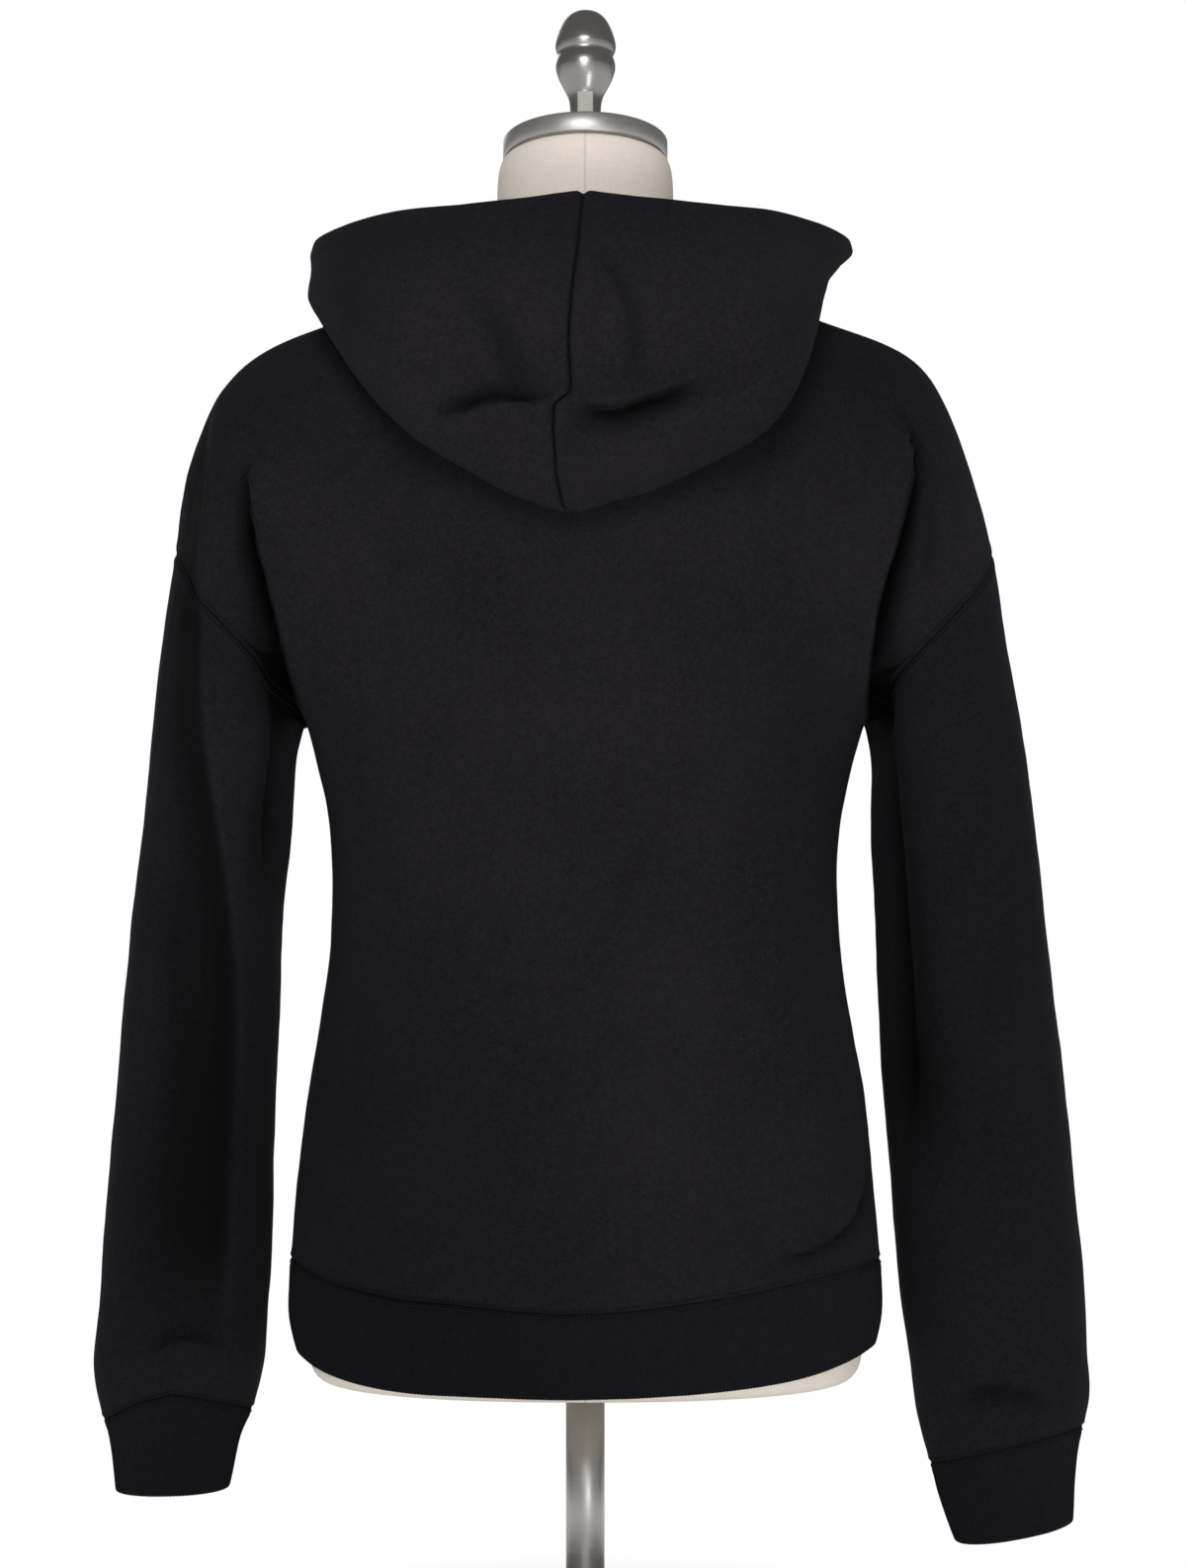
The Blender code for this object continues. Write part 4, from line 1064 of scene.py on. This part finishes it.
def ribbed(shape):
    """Cuts a knitted band's face into columns fine enough for its ribs, and marks the ribs."""
    cloth = bpy.context.scene.sweatshirt_cloth
    top = first_row(shape, True)
    rows = rows_from(top)
    row_of = {vert: i for i, row in enumerate(rows) for vert in row}
    spare = [
        edge
        for edge in shape.edges
        if row_of[edge.verts[0]] == row_of[edge.verts[1]]
        and row_of[edge.verts[0]] % 2
        and not edge.is_boundary
    ]
    bmesh.ops.dissolve_edges(shape, edges=spare, use_verts=True)
    level = [
        edge
        for edge in shape.edges
        if row_of[edge.verts[0]] == row_of[edge.verts[1]]
    ]
    bmesh.ops.subdivide_edges(shape, edges=level, cuts=5, use_grid_fill=True)
    uv = shape.loops.layers.uv["UVMap"]
    rib = shape.verts.layers.float.new("rib")
    length = max(loop[uv].uv.x for face in shape.faces for loop in face.loops)
    ribs = round(length / cloth.rib_pitch)
    for vert in shape.verts:
        turn = vert.link_loops[0][uv].uv.x / length * ribs * 2 * math.pi
        vert[rib] = 0.5 + 0.5 * math.cos(turn)
    return shape


def raise_ribs(mesh, outer):
    """Raises the ribs on a band's outer face, whose vertices come first."""
    depth = bpy.context.scene.sweatshirt_cloth.rib_depth
    height = np.zeros(len(mesh.vertices))
    mesh.attributes["rib"].data.foreach_get("value", height)
    height[outer:] = 0.6
    lift = (height - 0.6) * depth
    move_vertices(mesh, coordinates_of(mesh) + normals_of(mesh) * lift[:, None])


# ---------------------------------------------------------------- stitches
def row_beside(line, offset, number, shape, surface):
    """Points and normals on the cloth, at an offset from a seam, on one piece's side of it."""
    layer = shape.faces.layers.int["piece"]
    places, ups = [], []
    for index in line:
        vert = shape.verts[index]
        inward = Vector()
        for face in vert.link_faces:
            if face[layer] == number:
                inward += face.calc_center_median() - vert.co
        if not inward.length:
            continue
        places.append(np.array(vert.co))
        ups.append(np.array(inward.normalized()))
    places, inward = np.array(places), np.array(ups)
    ahead = np.roll(places, -1, axis=0) - np.roll(places, 1, axis=0)
    ahead[0], ahead[-1] = places[1] - places[0], places[-1] - places[-2]
    ahead /= np.linalg.norm(ahead, axis=1, keepdims=True)
    inward -= ahead * (inward * ahead).sum(axis=1, keepdims=True)
    inward /= np.linalg.norm(inward, axis=1, keepdims=True)
    found = [surface.find_nearest(Vector(point)) for point in places + inward * offset]
    return np.array([hit[0] for hit in found]), np.array([hit[1] for hit in found])


def stitches_along(points, ups, pitch, closed):
    """Evenly spaced places along a line, each with its forward and upward direction."""
    if closed:
        points, ups = np.vstack([points, points[:1]]), np.vstack([ups, ups[:1]])
    run = np.concatenate([[0], np.cumsum(np.linalg.norm(np.diff(points, axis=0), axis=1))])
    count = max(2, int(run[-1] / pitch))
    at = (np.arange(count) + 0.5) / count * run[-1]

    def sample(values, where):
        return np.stack([np.interp(where, run, values[:, k]) for k in range(3)], axis=1)

    centre = sample(points, at)
    forward = sample(points, at + pitch * 0.4) - sample(points, at - pitch * 0.4)
    forward /= np.linalg.norm(forward, axis=1, keepdims=True)
    up = sample(ups, at)
    up -= forward * (up * forward).sum(axis=1, keepdims=True)
    up /= np.linalg.norm(up, axis=1, keepdims=True)
    return centre, forward, up


def joined_copies(template, places):
    """One mesh of many turned copies of a small shape, whose own x runs along each place."""
    corners = coordinates_of(template)
    faces = [list(face.vertices) for face in template.polygons]
    centre, forward, up = (np.concatenate(part) for part in zip(*places))
    sideways = np.cross(up, forward)
    axes = np.stack([forward, sideways, up], axis=1)
    points = centre[:, None, :] + np.einsum("vk,nkc->nvc", corners, axes)
    made = [
        [corner + n * len(corners) for corner in face]
        for n in range(len(centre))
        for face in faces
    ]
    mesh = bpy.data.meshes.new("topstitching")
    mesh.from_pydata(points.reshape(-1, 3).tolist(), [], made)
    return mesh


# ---------------------------------------------------------------- turned metal
def turned(name, outline, steps, place):
    """A closed solid spun round its axis from an outline of (radius, height) points."""
    shape = bmesh.new()
    verts = [shape.verts.new((radius, 0.0, height)) for radius, height in outline]
    edges = [shape.edges.new(pair) for pair in zip(verts, verts[1:])]
    if outline[0][0] > 0 and outline[-1][0] > 0:
        edges.append(shape.edges.new((verts[-1], verts[0])))
    bmesh.ops.spin(
        shape, geom=verts + edges, cent=(0, 0, 0), axis=(0, 0, 1), angle=2 * math.pi,
        steps=steps, use_merge=True,
    )
    bmesh.ops.remove_doubles(shape, verts=shape.verts, dist=1e-6)
    bmesh.ops.recalc_face_normals(shape, faces=shape.faces)
    bmesh.ops.transform(shape, matrix=place, verts=shape.verts)
    return mesh_from(shape, name)


def smooth_outline(outline, times):
    """An outline with more points, on a curve through those it has."""
    points = np.array(outline)
    run = np.concatenate([[0], np.cumsum(np.linalg.norm(np.diff(points, axis=0), axis=1))])
    slopes = np.gradient(points, run, axis=0)
    made = []
    for i in range(len(points) - 1):
        h = run[i + 1] - run[i]
        for k in range(times):
            t = k / times
            made.append(
                (2 * t**3 - 3 * t**2 + 1) * points[i]
                + (t**3 - 2 * t**2 + t) * h * slopes[i]
                + (3 * t**2 - 2 * t**3) * points[i + 1]
                + (t**3 - t**2) * h * slopes[i + 1]
            )
    made.append(points[-1])
    return [(max(0.0, radius), height) for radius, height in made]


def on_neck():
    return Matrix.Translation(NECK_TOP) @ Matrix.Rotation(NECK_TILT, 4, "X")


# ---------------------------------------------------------------- settings
class SWEATSHIRT_PG_cloth(bpy.types.PropertyGroup):
    """Cloth, ribs and their colours."""

    fleece_wall: FloatProperty(
        name="Fleece thickness", description="Wall of the fleece pieces", default=0.0022,
        unit="LENGTH",
    )
    rib_wall: FloatProperty(
        name="Rib thickness", description="Wall of the cuffs and the hem band", default=0.0026,
        unit="LENGTH",
    )
    rib_pitch: FloatProperty(
        name="Rib pitch", description="From one rib to the next", default=0.0023, unit="LENGTH"
    )
    rib_depth: FloatProperty(
        name="Rib depth", description="How far ribs stand out", default=0.00045, unit="LENGTH"
    )
    crease_depth: FloatProperty(
        name="Crease depth", description="Multiplies the depth of every crease", default=1.0
    )
    fleece_colour: FloatVectorProperty(
        name="Fleece colour", description="Colour of the fleece", subtype="COLOR", size=3,
        default=(0.0108, 0.0098, 0.0115),
    )
    rib_colour: FloatVectorProperty(
        name="Rib colour", description="Colour of the ribbing", subtype="COLOR", size=3,
        default=(0.0078, 0.0072, 0.0086),
    )
    thread_colour: FloatVectorProperty(
        name="Thread colour", description="Colour of the stitches", subtype="COLOR", size=3,
        default=(0.0150, 0.0140, 0.0160),
    )


class SWEATSHIRT_PG_sewing(bpy.types.PropertyGroup):
    """Seams and stitches."""

    smoothness: IntProperty(
        name="Smoothness", description="Subdivisions of the garment's skin", default=3
    )
    needle_offset: FloatProperty(
        name="Needle offset", description="From a seam to each of its stitch rows",
        default=0.0027, unit="LENGTH",
    )
    rim_stitch: FloatProperty(
        name="Rim stitch", description="From the hood's rim to its stitch row",
        default=0.016, unit="LENGTH",
    )
    stitch_pitch: FloatProperty(
        name="Stitch pitch", description="From one stitch to the next", default=0.0028,
        unit="LENGTH",
    )
    stitch_length: FloatProperty(
        name="Stitch length", description="Length of the thread that shows", default=0.0023,
        unit="LENGTH",
    )
    stitch_width: FloatProperty(
        name="Thread width", description="Width of the thread", default=0.0007, unit="LENGTH"
    )


class SWEATSHIRT_PG_form(bpy.types.PropertyGroup):
    """The dress form."""

    smoothness: IntProperty(
        name="Smoothness", description="Subdivisions of the form's body", default=2
    )
    cloth_colour: FloatVectorProperty(
        name="Cloth colour", description="Colour of the form's linen", subtype="COLOR", size=3,
        default=(0.84, 0.755, 0.67),
    )


class SWEATSHIRT_PG_metal(bpy.types.PropertyGroup):
    """The metal fittings and the stand."""

    ring_radius: FloatProperty(
        name="Ring radius", description="Outside of the neck ring", default=0.0535,
        unit="LENGTH",
    )
    ring_height: FloatProperty(
        name="Ring height", description="Height of the neck ring", default=0.0135,
        unit="LENGTH",
    )
    ring_wall: FloatProperty(
        name="Ring wall", description="Wall of the neck ring", default=0.0025, unit="LENGTH"
    )
    pole_radius: FloatProperty(
        name="Pole radius", description="Radius of the stand's pole", default=0.0125,
        unit="LENGTH",
    )
    colour: FloatVectorProperty(
        name="Metal colour", description="Colour of the nickel plate", subtype="COLOR", size=3,
        default=(0.45, 0.435, 0.42),
    )
    key_colour: FloatVectorProperty(
        name="Key colour", description="Colour of the knob's key", subtype="COLOR", size=3,
        default=(0.50, 0.48, 0.44),
    )
    roughness: FloatProperty(
        name="Roughness", description="How dull the brushed metal is", default=0.42
    )


class SWEATSHIRT_PG_stage(bpy.types.PropertyGroup):
    """Camera, lights and floor."""

    key_power: FloatProperty(
        name="Key light", description="Power of the light above the camera",
        default=10.5, unit="POWER",
    )
    low_power: FloatProperty(
        name="Low light", description="Power of the low light on the picture's right", default=4.0,
        unit="POWER",
    )
    front_power: FloatProperty(
        name="Front light", description="Power of the light on the wearer's front",
        default=10.0, unit="POWER",
    )
    world_strength: FloatProperty(
        name="Room light", description="Light from the white room", default=0.30
    )
    floor_colour: FloatVectorProperty(
        name="Floor colour", description="Colour of the floor", subtype="COLOR", size=3,
        default=(0.86, 0.86, 0.85),
    )


# ---------------------------------------------------------------- operators
class SWEATSHIRT_OT_skin(bpy.types.Operator):
    """Sew the cloth faces into one smooth skin and press its creases"""

    bl_idname = "sweatshirt.skin"
    bl_label = "Sew the skin"

    def execute(self, context):
        build_skin()
        return {"FINISHED"}


class SWEATSHIRT_OT_fleece(bpy.types.Operator):
    """Cut the fleece pieces: the two panels, the sleeves and the hood's halves"""

    bl_idname = "sweatshirt.fleece"
    bl_label = "Cut the fleece"

    def execute(self, context):
        wall = context.scene.sweatshirt_cloth.fleece_wall
        for name in PANEL_PIECES + SLEEVE_PIECES + HOOD_PIECES:
            sew_piece(name, cut_piece(name), wall, "brushed_fleece")
        return {"FINISHED"}


class SWEATSHIRT_OT_ribs(bpy.types.Operator):
    """Knit the cuffs and the hem band"""

    bl_idname = "sweatshirt.ribs"
    bl_label = "Knit the ribs"

    def execute(self, context):
        wall = context.scene.sweatshirt_cloth.rib_wall
        for name in RIB_PIECES:
            sew_piece(name, ribbed(cut_piece(name)), wall, "ribbed_knit")
        return {"FINISHED"}


class SWEATSHIRT_OT_stitches(bpy.types.Operator):
    """Sew the rows of stitches beside the seams and along the hood's rim"""

    bl_idname = "sweatshirt.stitches"
    bl_label = "Sew the stitches"

    def execute(self, context):
        sewing = context.scene.sweatshirt_sewing
        names = list(CLOTH_PIECES)
        shape = bmesh.new()
        shape.from_mesh(Skin.mesh)
        shape.verts.ensure_lookup_table()
        surface = BVHTree.FromBMesh(shape)
        places = []
        for pair, lines in Skin.seams.items():
            pieces = {names[k] for k in pair}
            rim = len(pair) == 1 and pieces <= set(HOOD_PIECES)
            if not rim and not stitched(pieces):
                continue
            offset = sewing.rim_stitch if rim else sewing.needle_offset
            for line in lines:
                if len(line) < 4:
                    continue
                ends = shape.verts[line[0]].co - shape.verts[line[-1]].co
                for number in pair:
                    points, ups = row_beside(line, offset, number, shape, surface)
                    closed = ends.length < ENDS_MEET
                    places.append(stitches_along(points, ups, sewing.stitch_pitch, closed))
        shape.free()
        stitch = bmesh.new()
        bmesh.ops.create_uvsphere(stitch, u_segments=5, v_segments=3, radius=0.5)
        size = (sewing.stitch_length, sewing.stitch_width, sewing.stitch_width)
        bmesh.ops.rotate(
            stitch, verts=stitch.verts, cent=(0, 0, 0), matrix=Matrix.Rotation(math.pi / 2, 3, "Y")
        )
        bmesh.ops.scale(stitch, vec=size, verts=stitch.verts)
        template = mesh_from(stitch, "stitch")
        mesh = joined_copies(template, places)
        bpy.data.meshes.remove(template)
        add_piece("topstitching", mesh, finish_with("sewing_thread"))
        return {"FINISHED"}


class SWEATSHIRT_OT_form(bpy.types.Operator):
    """Smooth the dress form's body and cover it with linen"""

    bl_idname = "sweatshirt.form"
    bl_label = "Cover the form"

    def execute(self, context):
        shape = cad_copy("form_body")
        low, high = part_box("form_body")
        caps = [
            face
            for face in shape.faces
            if all(vert.co.z < low.z + 1e-4 for vert in face.verts)
            or face.normal.z > 0.9 and face.calc_center_median().z > high.z - NECK_CAP
        ]
        bmesh.ops.delete(shape, geom=caps, context="FACES")
        grid_of(shape, first_row(shape, True), True)
        ends = bmesh.ops.holes_fill(shape, edges=[e for e in shape.edges if e.is_boundary])
        for depth in CAP_INSETS:
            bmesh.ops.inset_region(shape, faces=ends["faces"], thickness=depth)
        bmesh.ops.recalc_face_normals(shape, faces=shape.faces)
        mesh = mesh_from(shape, "form_body")
        passed_through_points(mesh)
        levels = context.scene.sweatshirt_form.smoothness
        smooth = modified(mesh, "SUBSURF", levels=levels, use_limit_surface=True)
        bpy.data.meshes.remove(mesh)
        add_piece("form_body_linen", smooth, finish_with("cream_linen"), ["form_body"])
        return {"FINISHED"}


class SWEATSHIRT_OT_fittings(bpy.types.Operator):
    """Turn the neck ring, its plate, the knob and the knob's key"""

    bl_idname = "sweatshirt.fittings"
    bl_label = "Fit the neck"

    def execute(self, context):
        metal = context.scene.sweatshirt_metal
        steel = finish_with("brushed_nickel")
        inside = metal.ring_radius - metal.ring_wall
        low, high, edge = NECK_FITTINGS_GAP, metal.ring_height, METAL_EDGE
        ring = [
            (inside, low),
            (metal.ring_radius - edge, low),
            (metal.ring_radius, low + edge),
            (metal.ring_radius, high - edge * 1.6),
            (metal.ring_radius - edge * 0.5, high - edge * 0.5),
            (metal.ring_radius - edge * 1.6, high),
            (inside + edge, high),
            (inside, high - edge),
        ]
        mesh = turned("neck_ring", ring, RING_SIDES, on_neck())
        add_piece("neck_ring_brushed", mesh, steel, ["neck_ring"])
        top = high - 0.001
        plate = [(0, low), (inside - low, low), (inside - low, top - edge),
                 (inside - low - edge, top), (0, top)]
        mesh = turned("neck_plate", plate, KNOB_SIDES, on_neck())
        add_piece("neck_plate_brushed", mesh, steel, ["neck_plate"])
        foot = top + NECK_FITTINGS_GAP
        outline = [(0.0, foot)] + [
            (radius, foot + height) for radius, height in smooth_outline(KNOB_OUTLINE, 4)
        ]
        mesh = turned("knob", outline, KNOB_SIDES, on_neck())
        add_piece("knob_turned", mesh, finish_with("cast_nickel"), ["knob"])
        low, high = (Vector(corner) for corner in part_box("knob_key"))
        shape = bmesh.new()
        bmesh.ops.create_cube(shape, size=1.0)
        bmesh.ops.scale(shape, vec=KEY_SIZE, verts=shape.verts)
        bmesh.ops.bevel(
            shape, geom=shape.edges[:], offset=METAL_EDGE, affect="EDGES", segments=3, profile=0.5,
            material=-1,
        )
        bmesh.ops.rotate(
            shape, verts=shape.verts, cent=(0, 0, 0), matrix=Matrix.Rotation(NECK_TILT, 3, "X")
        )
        bmesh.ops.translate(shape, vec=(low + high) / 2, verts=shape.verts)
        mesh = mesh_from(shape, "knob_key")
        add_piece("knob_key_cream", mesh, finish_with("cream_enamel"), ["knob_key"])
        return {"FINISHED"}


class SWEATSHIRT_OT_stand(bpy.types.Operator):
    """Turn the stand's base and pole"""

    bl_idname = "sweatshirt.stand"
    bl_label = "Turn the stand"

    def execute(self, context):
        steel = finish_with("brushed_nickel")
        mesh = turned("stand_base", BASE_OUTLINE, BASE_SIDES, Matrix.Identity(4))
        add_piece("stand_base_turned", mesh, steel, ["stand_base"])
        low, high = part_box("stand_pole")
        radius = context.scene.sweatshirt_metal.pole_radius
        outline = [(0, low.z), (radius, low.z), (radius, high.z), (0, high.z)]
        mesh = turned("stand_pole", outline, POLE_SIDES, Matrix.Identity(4))
        add_piece("stand_pole_turned", mesh, steel, ["stand_pole"])
        return {"FINISHED"}


class SWEATSHIRT_OT_stage(bpy.types.Operator):
    """Set the floor, the room, the lights and the camera"""

    bl_idname = "sweatshirt.stage"
    bl_label = "Set the stage"

    def execute(self, context):
        stage = context.scene.sweatshirt_stage
        self.lay_floor(stage)
        self.light_room(stage)
        for name, place, size in LIGHTS:
            self.hang_light(name, place, size, getattr(stage, name + "_power"))
        camera = bpy.data.cameras.new("camera")
        camera.sensor_width = SENSOR
        camera.lens = SENSOR * CAMERA_PLACE[1] / FRAME_HEIGHT
        item = bpy.data.objects.new("camera", camera)
        item.location = CAMERA_PLACE
        item.rotation_euler = (math.pi / 2, 0, math.pi)
        context.scene.collection.objects.link(item)
        context.scene.camera = item
        context.scene.view_settings.view_transform = "Standard"
        return {"FINISHED"}

    def lay_floor(self, stage):
        shape = bmesh.new()
        bmesh.ops.create_circle(shape, cap_ends=True, cap_tris=False, segments=128, radius=FLOOR_RADIUS)
        floor = bpy.data.objects.new("floor", mesh_from(shape, "floor"))
        bpy.context.scene.collection.objects.link(floor)
        finish = Finish("pale_floor", roughness=0.7)
        finish.set(base_color=(*stage.floor_colour, 1.0))
        x, y = finish.axis("X"), finish.axis("Y")
        out = (x * x + y * y).maths("SQRT", x * x + y * y)
        glow = finish.node(
            "ShaderNodeEmission", None, {"Color": (1, 1, 1, 1), "Strength": 1.0}
        )
        mix = finish.node(
            "ShaderNodeMixShader",
            None,
            {0: out.rise(*FLOOR_FADE), 1: Wire(finish, finish.shader.outputs[0]), 2: glow},
        )
        finish.plug(finish.tree.nodes["Material Output"].inputs["Surface"], mix)
        floor.data.materials.append(finish.material)

    def light_room(self, stage):
        world = bpy.data.worlds.new("white_room")
        world.use_nodes = True
        tree = world.node_tree
        tree.nodes.clear()
        place = tree.nodes.new("ShaderNodeTexCoord")
        split = tree.nodes.new("ShaderNodeSeparateXYZ")
        ramp = tree.nodes.new("ShaderNodeMapRange")
        room, backdrop = (tree.nodes.new("ShaderNodeBackground") for _ in range(2))
        path, mix = tree.nodes.new("ShaderNodeLightPath"), tree.nodes.new("ShaderNodeMixShader")
        output = tree.nodes.new("ShaderNodeOutputWorld")
        tree.links.new(place.outputs["Generated"], split.inputs[0])
        tree.links.new(split.outputs["Y"], ramp.inputs["Value"])
        ramp.inputs["From Min"].default_value = ROOM_FROM
        ramp.inputs["From Max"].default_value = ROOM_TO
        ramp.inputs["To Min"].default_value = stage.world_strength * ROOM_DIM
        ramp.inputs["To Max"].default_value = stage.world_strength
        tree.links.new(ramp.outputs[0], room.inputs["Strength"])
        tree.links.new(path.outputs["Is Camera Ray"], mix.inputs[0])
        tree.links.new(room.outputs[0], mix.inputs[1])
        tree.links.new(backdrop.outputs[0], mix.inputs[2])
        tree.links.new(mix.outputs[0], output.inputs["Surface"])
        room.inputs["Color"].default_value = backdrop.inputs["Color"].default_value = (1, 1, 1, 1)
        bpy.context.scene.world = world

    def hang_light(self, name, place, size, power):
        lamp = bpy.data.lights.new(name, "AREA")
        lamp.shape, lamp.size, lamp.energy = "DISK", size, power
        item = bpy.data.objects.new(name + "_light", lamp)
        item.location = place
        aim = Vector(LIGHTS_AIM) - Vector(place)
        item.rotation_euler = aim.to_track_quat("-Z", "Y").to_euler()
        bpy.context.scene.collection.objects.link(item)


class SWEATSHIRT_PT_panel(bpy.types.Panel):
    """Lists the steps of making the sweatshirt"""

    bl_label = "Hooded sweatshirt"
    bl_space_type = "VIEW_3D"
    bl_region_type = "UI"
    bl_category = "Sweatshirt"

    def draw(self, context):
        for operator in OPERATORS:
            self.layout.operator(operator.bl_idname)
        for name in SETTINGS:
            box = self.layout.box()
            group = getattr(context.scene, name)
            for key in type(group).__annotations__:
                box.prop(group, key)


OPERATORS = (
    SWEATSHIRT_OT_skin,
    SWEATSHIRT_OT_fleece,
    SWEATSHIRT_OT_ribs,
    SWEATSHIRT_OT_stitches,
    SWEATSHIRT_OT_form,
    SWEATSHIRT_OT_fittings,
    SWEATSHIRT_OT_stand,
    SWEATSHIRT_OT_stage,
)
SETTINGS = {
    "sweatshirt_cloth": SWEATSHIRT_PG_cloth,
    "sweatshirt_sewing": SWEATSHIRT_PG_sewing,
    "sweatshirt_form": SWEATSHIRT_PG_form,
    "sweatshirt_metal": SWEATSHIRT_PG_metal,
    "sweatshirt_stage": SWEATSHIRT_PG_stage,
}


def register():
    for group in (*SETTINGS.values(), *OPERATORS, SWEATSHIRT_PT_panel):
        bpy.utils.register_class(group)
    for name, group in SETTINGS.items():
        setattr(bpy.types.Scene, name, PointerProperty(type=group))


def unregister():
    for name in SETTINGS:
        delattr(bpy.types.Scene, name)
    for group in (SWEATSHIRT_PT_panel, *reversed(OPERATORS), *SETTINGS.values()):
        bpy.utils.unregister_class(group)


def main():
    register()
    for operator in OPERATORS:
        family, name = operator.bl_idname.split(".")
        getattr(getattr(bpy.ops, family), name)()
    bpy.data.meshes.remove(Skin.mesh)


if __name__ == "__main__":
    main()
